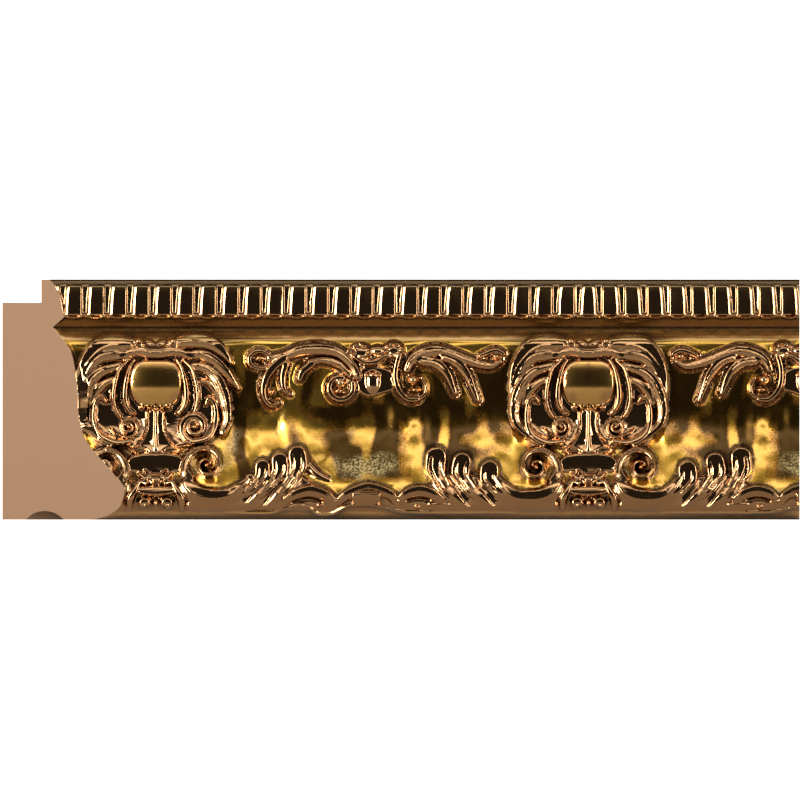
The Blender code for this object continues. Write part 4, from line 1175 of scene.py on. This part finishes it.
def linear(hex_colour: str) -> tuple[float, float, float, float]:
    """Turns an sRGB hex colour into linear red, green, blue and alpha.

    Args:
        hex_colour: Six hex digits after a hash sign.

    Returns:
        The colour as the shader wants it.
    """
    parts = [int(hex_colour[i : i + 2], 16) / 255 for i in (1, 3, 5)]
    r, g, b = (c / 12.92 if c <= 0.04045 else ((c + 0.055) / 1.055) ** 2.4 for c in parts)
    return r, g, b, 1.0


def add_node(
    tree: bpy.types.NodeTree, kind: str, links: dict | None = None, **settings: object
) -> bpy.types.Node:
    """Adds a node with its settings and its links.

    Args:
        tree: The node tree that it belongs to.
        kind: Blender's name for the node.
        links: Input name or number to a value, or to the output socket that feeds it.
        settings: The node's own properties.

    Returns:
        The new node.
    """
    node = tree.nodes.new(kind)
    for name, value in settings.items():
        setattr(node, name, value)
    for key, value in (links or {}).items():
        if isinstance(value, bpy.types.NodeSocket):
            tree.links.new(value, node.inputs[key])
        else:
            node.inputs[key].default_value = value
    return node


def new_material(name: str) -> tuple[bpy.types.Material, bpy.types.NodeTree, bpy.types.Node]:
    """Makes a material with one Principled shader.

    Args:
        name: The material's name.

    Returns:
        The material, its node tree and its shader.
    """
    material = bpy.data.materials.new(name)
    material.use_nodes = True
    return material, material.node_tree, material.node_tree.nodes["Principled BSDF"]


@dataclass(frozen=True)
class FoilFinish:
    """Hot stamped metallised foil, which gives the eye a mirror with a warm colour.

    Vapour laid aluminium lies under tinted lacquer: yellow gold on the ground, bronze where a thin brown
    tint was wiped over the ornament. Shade is painted in dark brown into recesses, under the lip, over the
    bead tops and on the outer edge, and the ground carries a painted reflection: dark patches and
    orange-brown fringes round yellow fingers. The real grain, sand and flecks are too fine to show in the
    render, so they are drawn about half a millimetre coarse.
    """

    gold: str = "#FFCB52"
    deep_gold: str = "#E0A63A"
    # Painted reflection on the ground: an orange-brown fringe, then dark patches, round the yellow.
    fringe_brown: str = "#B9802A"
    reflection_dark: str = "#3A2C14"
    bronze: str = "#B88A58"
    lacquered: str = "#EDBD76"
    # Painted shade: dark brown in recesses, under the lip, over the bead tops and on the outer edge.
    shade_brown: str = "#4A3420"
    frost_dark: str = "#4E4020"
    frost_pale: str = "#CDB680"
    cloud_mm: float = 9.0
    sand_mm: float = 0.6
    sand_strength: float = 0.9
    fleck_mm: float = 0.7
    grain_mm: float = 0.5
    grain_depth_mm: float = 0.3
    grain_strength: float = 0.03
    frost_strength: float = 1.0
    roughness: float = 0.09
    ground_roughness: float = 0.22
    satin_roughness: float = 0.14
    frost_roughness: float = 0.32
    reflection_roughness: float = 0.06
    coat_weight: float = 0.95
    coat_loss: float = 0.9
    coat_roughness: float = 0.05

    def make(self) -> bpy.types.Material:
        """Makes the material: how raised, dull and frosted each place is, and its painted shade and
        reflection.

        Returns:
            The finished material.
        """
        material, tree, shader = new_material("gold_foil")
        place = add_node(tree, "ShaderNodeTexCoord").outputs["Object"]
        tone, hollow, satin, frost, painted_reflection = (
            add_node(tree, "ShaderNodeAttribute", attribute_name=name).outputs["Fac"]
            for name in ("tone", "hollow", "satin", "frost", "painted_reflection")
        )
        cloud, sand, fleck, grain = (
            add_node(
                tree, "ShaderNodeTexNoise", {"Vector": place, "Scale": 1 / (size * MM), "Detail": detail}
            ).outputs["Fac"]
            for size, detail in (
                (self.cloud_mm, 3.0),
                (self.sand_mm, 4.0),
                (self.fleck_mm, 1.0),
                (self.grain_mm, 2.0),
            )
        )
        ragged = add_node(
            tree, "ShaderNodeMath", {0: sand, 1: self.sand_strength, 2: painted_reflection}, operation="MULTIPLY_ADD"
        ).outputs[0]
        # For each effect: what it follows, where that starts, where it is full, and how far it covers.
        # The first two paint the ground's reflection, a brown fringe and dark patches; the third paints
        # shade.
        painted_fringe, painted_dark, painted_shade, flecked = (
            add_node(
                tree,
                "ShaderNodeMapRange",
                {"Value": value, "From Min": low, "From Max": high, "To Max": most},
            ).outputs["Result"]
            for value, low, high, most in (
                (ragged, 0.5, 0.9, 1.0),
                (ragged, 0.85, 1.3, 0.9),
                (hollow, 0.3, 1.2, 0.8),
                (fleck, 0.38, 0.62, 1.0),
            )
        )
        speckle = add_node(
            tree,
            "ShaderNodeMix",
            {FACTOR: flecked, FIRST: linear(self.frost_dark), SECOND: linear(self.frost_pale)},
            data_type="RGBA",
        )
        colour = linear(self.gold)
        for cover, tint in (
            (cloud, linear(self.deep_gold)),
            (painted_fringe, linear(self.fringe_brown)),
            (painted_dark, linear(self.reflection_dark)),
            (tone, linear(self.bronze)),
            (satin, linear(self.lacquered)),
            (painted_shade, linear(self.shade_brown)),
            (frost, speckle.outputs[RESULT]),
        ):
            mix = add_node(
                tree, "ShaderNodeMix", {FACTOR: cover, FIRST: colour, SECOND: tint}, data_type="RGBA"
            )
            colour = mix.outputs[RESULT]
        tree.links.new(colour, shader.inputs["Base Color"])
        shader.inputs["Metallic"].default_value = 1.0
        rough = add_node(
            tree,
            "ShaderNodeMapRange",
            {"Value": tone, "To Min": self.ground_roughness, "To Max": self.roughness},
        ).outputs["Result"]
        for dulled, amount in (
            (satin, self.satin_roughness),
            (frost, self.frost_roughness),
            (painted_reflection, self.reflection_roughness),
        ):
            rough = add_node(
                tree, "ShaderNodeMath", {0: dulled, 1: amount, 2: rough}, operation="MULTIPLY_ADD"
            ).outputs[0]
        tree.links.new(rough, shader.inputs["Roughness"])
        coat = add_node(
            tree,
            "ShaderNodeMath",
            {0: painted_dark, 1: -self.coat_loss, 2: self.coat_weight},
            operation="MULTIPLY_ADD",
        )
        tree.links.new(coat.outputs[0], shader.inputs["Coat Weight"])
        shader.inputs["Coat Roughness"].default_value = self.coat_roughness
        strength = add_node(
            tree,
            "ShaderNodeMapRange",
            {"Value": frost, "To Min": self.grain_strength, "To Max": self.frost_strength},
        )
        bump = add_node(
            tree,
            "ShaderNodeBump",
            {"Height": grain, "Strength": strength.outputs["Result"], "Distance": self.grain_depth_mm * MM},
        )
        tree.links.new(bump.outputs["Normal"], shader.inputs["Normal"])
        return material


@dataclass(frozen=True)
class FoamFinish:
    """Sawn foamed polystyrene, which gives the eye a dense tan foam, matt, with fine cells.

    The real cells are too small to show in the render, so they are drawn as coarse as they need to show.
    """

    tan: str = "#957458"
    shade: str = "#8D6C4F"
    cell_mm: float = 0.35
    cell_depth_mm: float = 0.1
    cell_strength: float = 0.3
    roughness: float = 0.85

    def make(self) -> bpy.types.Material:
        """Makes the material of the cut ends.

        Returns:
            The finished material.
        """
        material, tree, shader = new_material("sawn_foam")
        place = add_node(tree, "ShaderNodeTexCoord").outputs["Object"]
        cells = add_node(tree, "ShaderNodeTexNoise", {"Vector": place, "Scale": 1 / (self.cell_mm * MM)})
        colour = add_node(
            tree,
            "ShaderNodeMix",
            {FACTOR: cells.outputs["Fac"], FIRST: linear(self.shade), SECOND: linear(self.tan)},
            data_type="RGBA",
        )
        tree.links.new(colour.outputs[RESULT], shader.inputs["Base Color"])
        shader.inputs["Roughness"].default_value = self.roughness
        bump = add_node(
            tree,
            "ShaderNodeBump",
            {
                "Height": cells.outputs["Fac"],
                "Strength": self.cell_strength,
                "Distance": self.cell_depth_mm * MM,
            },
        )
        tree.links.new(bump.outputs["Normal"], shader.inputs["Normal"])
        return material


@dataclass(frozen=True)
class LacquerFinish:
    """The brown base lacquer that wraps the back, the rebate and the outer edge, thin and satin."""

    brown: str = "#6B4A33"
    worn: str = "#8A6547"
    streak_length_mm: float = 60.0
    streak_width_mm: float = 3.0
    streak_depth_mm: float = 0.1
    streak_strength: float = 0.2
    roughness: float = 0.5

    def make(self) -> bpy.types.Material:
        """Makes the material of the sides that the foil leaves bare.

        Returns:
            The finished material.
        """
        material, tree, shader = new_material("brown_lacquer")
        place = add_node(tree, "ShaderNodeTexCoord").outputs["Object"]
        across = 1 / (self.streak_width_mm * MM)
        streaks = add_node(
            tree,
            "ShaderNodeMapping",
            {"Vector": place, "Scale": (1 / (self.streak_length_mm * MM), across, across)},
        )
        noise = add_node(
            tree, "ShaderNodeTexNoise", {"Vector": streaks.outputs["Vector"], "Scale": 1.0, "Detail": 4.0}
        )
        colour = add_node(
            tree,
            "ShaderNodeMix",
            {FACTOR: noise.outputs["Fac"], FIRST: linear(self.brown), SECOND: linear(self.worn)},
            data_type="RGBA",
        )
        tree.links.new(colour.outputs[RESULT], shader.inputs["Base Color"])
        shader.inputs["Roughness"].default_value = self.roughness
        bump = add_node(
            tree,
            "ShaderNodeBump",
            {
                "Height": noise.outputs["Fac"],
                "Strength": self.streak_strength,
                "Distance": self.streak_depth_mm * MM,
            },
        )
        tree.links.new(bump.outputs["Normal"], shader.inputs["Normal"])
        return material


class Surface(Enum):
    """The material slots of the strip's mesh."""

    FOIL = 0
    FOAM = 1
    LACQUER = 2


@dataclass
class MouldingStrip:
    """The whole strip as one mesh: the carved face, trimmed to the section.

    Lengths are in millimetres. A face belongs to a flat side where its middle lies within touching of
    it. Squarely is the least that its normal points that way at an edge, bevelward at the bevelled end
    and backward at the back. The foil reaches round the lower edge to the foiled edge, measured in front
    of the back.
    """

    section: Section
    carving: Carving
    face_step: float = 0.26
    face_triangles: int = 188_000
    crease_deg: float = 62.0
    touching: float = 0.02
    squarely: float = 0.99
    bevelward: float = 0.6
    backward: float = 0.9
    foiled_edge: float = 21.5
    weld: float = 0.004

    def carved_sheet(self) -> bpy.types.Mesh:
        """Makes the carved face as an open sheet, with fewer triangles where it is plain.

        Returns:
            The sheet's mesh.
        """
        cut = self.section
        step = self.face_step * 1
        columns = round((cut.length + 2 * cut.overrun) / step)
        rows = round((cut.width + 2 * cut.overrun) / step)
        bm = bmesh.new()
        bmesh.ops.create_grid(bm, x_segments=columns, y_segments=rows, size=0.5)
        mesh = bpy.data.meshes.new("carved_face")
        bm.to_mesh(mesh)
        bm.free()
        flat = np.empty(len(mesh.vertices) * 3, np.float32)
        mesh.vertices.foreach_get("co", flat)
        flat = flat.reshape(-1, 3).astype(float)
        along = (flat[:, 0] + 0.5) * (cut.length + 2 * cut.overrun) - cut.overrun
        up = (flat[:, 1] + 0.5) * (cut.width + 2 * cut.overrun) - cut.overrun
        places = cut.world(along, self.carving.depth_at(along, up), up)
        mesh.vertices.foreach_set("co", places.astype(np.float32).ravel())
        mesh.update()
        ratio = min(1.0, self.face_triangles / (2 * columns * rows))
        LOG.info("face grid %d by %d, kept %.2f of it", columns, rows, ratio)
        return self.evaluated(mesh, "DECIMATE", ratio=ratio)

    def evaluated(self, mesh: bpy.types.Mesh, kind: str, **settings: object) -> bpy.types.Mesh:
        """Puts a mesh through one modifier.

        Args:
            mesh: The mesh, which is not kept.
            kind: The modifier's type.
            settings: The modifier's own properties.

        Returns:
            The mesh that comes out.
        """
        holder = bpy.data.objects.new("holder", mesh)
        bpy.context.scene.collection.objects.link(holder)
        modifier = holder.modifiers.new("step", kind)
        for name, value in settings.items():
            setattr(modifier, name, value)
        graph = bpy.context.evaluated_depsgraph_get()
        result = bpy.data.meshes.new_from_object(holder.evaluated_get(graph))
        bpy.data.objects.remove(holder)
        bpy.data.meshes.remove(mesh)
        return result

    def block(self) -> bpy.types.Mesh:
        """Closes the sheet behind into a block, a little larger all round than the strip.

        Returns:
            The block's mesh.
        """
        bm = bmesh.new()
        bm.from_mesh(self.carved_sheet())
        rim = [edge for edge in bm.edges if edge.is_boundary]
        drawn = bmesh.ops.extrude_edge_only(bm, edges=rim)["geom"]
        behind = (self.section.depth / 2 + self.section.overrun) * MM
        for vert in (item for item in drawn if isinstance(item, bmesh.types.BMVert)):
            vert.co.y = behind
        bmesh.ops.holes_fill(bm, edges=[edge for edge in bm.edges if edge.is_boundary], sides=0)
        bmesh.ops.recalc_face_normals(bm, faces=bm.faces)
        mesh = bpy.data.meshes.new("block")
        bm.to_mesh(mesh)
        bm.free()
        return mesh

    def section_body(self) -> bpy.types.Object:
        """Makes the space that the strip fills, bevelled at the left and square at the right.

        Returns:
            The body as an object, to trim with.
        """
        bm = bmesh.new()
        cut = self.section
        end = bm.faces.new([bm.verts.new(cut.world(depth, depth, up)) for depth, up in cut.back_outline()])
        drawn = bmesh.ops.extrude_face_region(bm, geom=[end])["geom"]
        for vert in (item for item in drawn if isinstance(item, bmesh.types.BMVert)):
            vert.co.x = cut.length / 2 * MM
        bmesh.ops.recalc_face_normals(bm, faces=bm.faces)
        mesh = bpy.data.meshes.new("section_body")
        bm.to_mesh(mesh)
        bm.free()
        body = bpy.data.objects.new("section_body", mesh)
        bpy.context.scene.collection.objects.link(body)
        return body

    def surface_indices(self, centres: np.ndarray, normals: np.ndarray) -> np.ndarray:
        """Tells which finish each face has.

        Args:
            centres: The faces' middles, in metres.
            normals: The faces' normals.

        Returns:
            The material index of each face.
        """
        cut = self.section
        along = centres[:, 0] / MM + cut.length / 2
        depth = cut.depth / 2 - centres[:, 1] / MM
        up = centres[:, 2] / MM
        near = self.touching
        bevel = (np.abs(along - depth) < near) & (normals[:, 0] < -self.bevelward)
        ends = (np.abs(along - cut.length) < near) | bevel
        bare = (depth < near) | (normals[:, 1] > self.backward)
        bare |= (np.abs(up - cut.width) < near) & (normals[:, 2] > self.squarely)
        bare |= (np.abs(up - cut.width + cut.rebate_height) < near) & (depth < cut.rebate_depth)
        bare |= (up < near) & (normals[:, 2] < -self.squarely)
        bare |= (up < cut.groove_rise) & (depth < self.foiled_edge)
        groove = (up > near) & (up < cut.groove_rise + near)
        groove &= np.abs(depth - cut.groove_centre) < cut.groove_width / 2
        indices = np.full(len(centres), Surface.FOIL.value)
        indices[bare] = Surface.LACQUER.value
        indices[ends | groove] = Surface.FOAM.value
        return indices

    def make(self, materials: dict[Surface, bpy.types.Material]) -> bpy.types.Object:
        """Makes the strip and dresses it.

        Args:
            materials: The material of each surface.

        Returns:
            The finished object.
        """
        body = self.section_body()
        mesh = self.evaluated(self.block(), "BOOLEAN", operation="INTERSECT", solver="EXACT", object=body)
        bpy.data.objects.remove(body)
        bm = bmesh.new()
        bm.from_mesh(mesh)
        bmesh.ops.remove_doubles(bm, verts=bm.verts, dist=self.weld * MM)
        bmesh.ops.triangulate(bm, faces=[face for face in bm.faces if len(face.verts) > 4])
        bm.to_mesh(mesh)
        bm.free()
        mesh.name = "moulding_strip_relief"
        mesh.materials.clear()
        for surface in Surface:
            mesh.materials.append(materials[surface])
        self.paint(mesh)
        strip = bpy.data.objects.new("moulding_strip_carved", mesh)
        bpy.context.scene.collection.objects.link(strip)
        return strip

    def paint(self, mesh: bpy.types.Mesh) -> None:
        """Gives the faces their finish and the points how raised and how hollow they are.

        Args:
            mesh: The strip's mesh.
        """
        cut = self.section
        centres = np.empty(len(mesh.polygons) * 3, np.float32)
        normals = np.empty(len(mesh.polygons) * 3, np.float32)
        mesh.polygons.foreach_get("center", centres)
        mesh.polygons.foreach_get("normal", normals)
        indices = self.surface_indices(centres.reshape(-1, 3), normals.reshape(-1, 3))
        mesh.polygons.foreach_set("material_index", indices.astype(np.int32))
        mesh.set_sharp_from_angle(angle=math.radians(self.crease_deg))
        mesh.polygons.foreach_set("use_smooth", indices == Surface.FOIL.value)
        places = np.empty(len(mesh.vertices) * 3, np.float32)
        mesh.vertices.foreach_get("co", places)
        places = places.reshape(-1, 3) / MM
        along, up = places[:, 0] + cut.length / 2, places[:, 2]
        for name, values in self.carving.foil_layers(along, up).items():
            layer = mesh.attributes.new(name, "FLOAT", "POINT")
            layer.data.foreach_set("value", values.astype(np.float32))
        LOG.info("strip has %d faces", len(mesh.polygons))


@dataclass(frozen=True)
class StripLight:
    """A soft rectangular light, with its place, its aim and its size in metres and its power in watts."""

    name: str
    place: Sequence[float]
    aim: Sequence[float]
    size: Point
    power: float

    def add(self) -> None:
        """Adds the light to the scene."""
        light = bpy.data.lights.new(self.name, "AREA")
        light.shape = "RECTANGLE"
        light.size, light.size_y = self.size
        light.energy = self.power
        holder = bpy.data.objects.new(self.name, light)
        bpy.context.scene.collection.objects.link(holder)
        holder.location = self.place
        direction = Vector(self.aim) - Vector(self.place)
        holder.rotation_euler = direction.to_track_quat("-Z", "Y").to_euler()
        holder.visible_camera = False


@dataclass
class Studio:
    """A plain pale floor, a softbox overhead, two strip lights and a square camera.

    Each band is an angle round the strip's own length, in degrees from the camera's side over the top,
    and how bright the surroundings are there. A ramp holds nothing over 1, so it gets the levels divided
    by the gain, and the background multiplies them by it again.
    """

    frame_width: float = 0.2667
    middle_along: float = -1 / 3 * MM
    middle_up: float = 0.040
    distance: float = 1.6
    floor_half: float = 3.0
    floor_gap: float = 0.2 * MM
    floor_grey: str = "#AFA9A1"
    floor_roughness: float = 0.9
    backdrop: str = "#FFFFFF"
    warmth: Sequence[float] = (1.0, 0.97, 0.93)
    strip_lights: Sequence[StripLight] = (
        StripLight("left_strip", (-0.90, -0.80, 0.42), (0, 0, 0.04), (0.38, 0.8), 17.5),
        StripLight("right_strip", (0.98, -0.80, 0.42), (0.05, 0, 0.04), (0.24, 0.8), 7.0),
    )
    bands: Sequence[tuple[float, float]] = (
        (-180, 0.8),
        (-90, 0.45),
        (-20, 0.31),
        (-2, 0.25),
        (3, 0.03),
        (40, 0.033),
        (47, 1.2),
        (51, 2.6),
        (56, 1.5),
        (61, 0.07),
        (73, 0.05),
        (77, 1.5),
        (82, 1.3),
        (87, 0.033),
        (112, 0.033),
        (119, 0.9),
        (180, 0.9),
    )
    gain: float = 4.0

    def add_camera(self) -> None:
        """Adds a camera that looks square at the face, without perspective."""
        camera = bpy.data.cameras.new("camera")
        camera.type = "ORTHO"
        camera.ortho_scale = self.frame_width
        camera.clip_end = 20
        holder = bpy.data.objects.new("camera", camera)
        holder.location = (self.middle_along, -self.distance, self.middle_up)
        holder.rotation_euler = (math.pi / 2, 0, 0)
        bpy.context.scene.collection.objects.link(holder)
        bpy.context.scene.camera = holder

    def add_floor(self) -> None:
        """Adds the pale floor that the strip stands on."""
        bm = bmesh.new()
        bmesh.ops.create_grid(bm, x_segments=1, y_segments=1, size=self.floor_half)
        mesh = bpy.data.meshes.new("floor")
        bm.to_mesh(mesh)
        bm.free()
        mesh.transform(Matrix.Translation((0, 0, -self.floor_gap)))
        material, _, shader = new_material("pale_floor")
        shader.inputs["Base Color"].default_value = linear(self.floor_grey)
        shader.inputs["Roughness"].default_value = self.floor_roughness
        mesh.materials.append(material)
        floor = bpy.data.objects.new("floor", mesh)
        bpy.context.scene.collection.objects.link(floor)

    def add_world(self) -> None:
        """Gives the studio a softbox overhead, a dark front and a white backdrop.

        The light changes only with the angle round the strip's own length, from the front over the top
        to the back. What looks straight at the backdrop sees plain white.
        """
        world = bpy.data.worlds.new("studio")
        world.use_nodes = True
        tree = world.node_tree
        toward = add_node(tree, "ShaderNodeTexCoord").outputs["Generated"]
        parts = add_node(tree, "ShaderNodeSeparateXYZ", {0: toward})
        front = add_node(tree, "ShaderNodeMath", {0: parts.outputs["Y"], 1: -1.0}, operation="MULTIPLY")
        angle = add_node(
            tree, "ShaderNodeMath", {0: parts.outputs["Z"], 1: front.outputs[0]}, operation="ARCTAN2"
        )
        turn = add_node(
            tree,
            "ShaderNodeMapRange",
            {"Value": angle.outputs[0], "From Min": -math.pi, "From Max": math.pi},
        )
        ramp = add_node(tree, "ShaderNodeValToRGB", {0: turn.outputs["Result"]})
        stops = ramp.color_ramp.elements
        stops.remove(stops[1])
        for number, (degrees, level) in enumerate(self.bands):
            stop = stops[0] if number == 0 else stops.new(0.5 + degrees / 360)
            stop.position = 0.5 + degrees / 360
            stop.color = [tint * (level / self.gain) for tint in self.warmth] + [1]
        path = add_node(tree, "ShaderNodeLightPath").outputs["Is Camera Ray"]
        colour = add_node(
            tree,
            "ShaderNodeMix",
            {FACTOR: path, FIRST: ramp.outputs["Color"], SECOND: linear(self.backdrop)},
            data_type="RGBA",
        )
        tree.links.new(colour.outputs[RESULT], tree.nodes["Background"].inputs["Color"])
        tree.nodes["Background"].inputs["Strength"].default_value = self.gain
        bpy.context.scene.world = world

    def build(self) -> None:
        """Builds the whole studio."""
        self.add_camera()
        self.add_floor()
        self.add_world()
        for light in self.strip_lights:
            light.add()
        bpy.context.scene.view_settings.view_transform = "Standard"


def main() -> None:
    """Loads the frame, builds the strip round it and dresses it."""
    logging.basicConfig(level=logging.INFO, format="%(name)s: %(message)s")
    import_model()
    Studio().build()
    section = Section()
    carving = Carving(section)
    carving.carve()
    materials = {
        Surface.FOIL: FoilFinish().make(),
        Surface.FOAM: FoamFinish().make(),
        Surface.LACQUER: LacquerFinish().make(),
    }
    strip = MouldingStrip(section, carving).make(materials)
    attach(strip, "root")
    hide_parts(CAD_NODE)
    LOG.info("placed %s", strip.name)


if __name__ == "__main__":
    main()
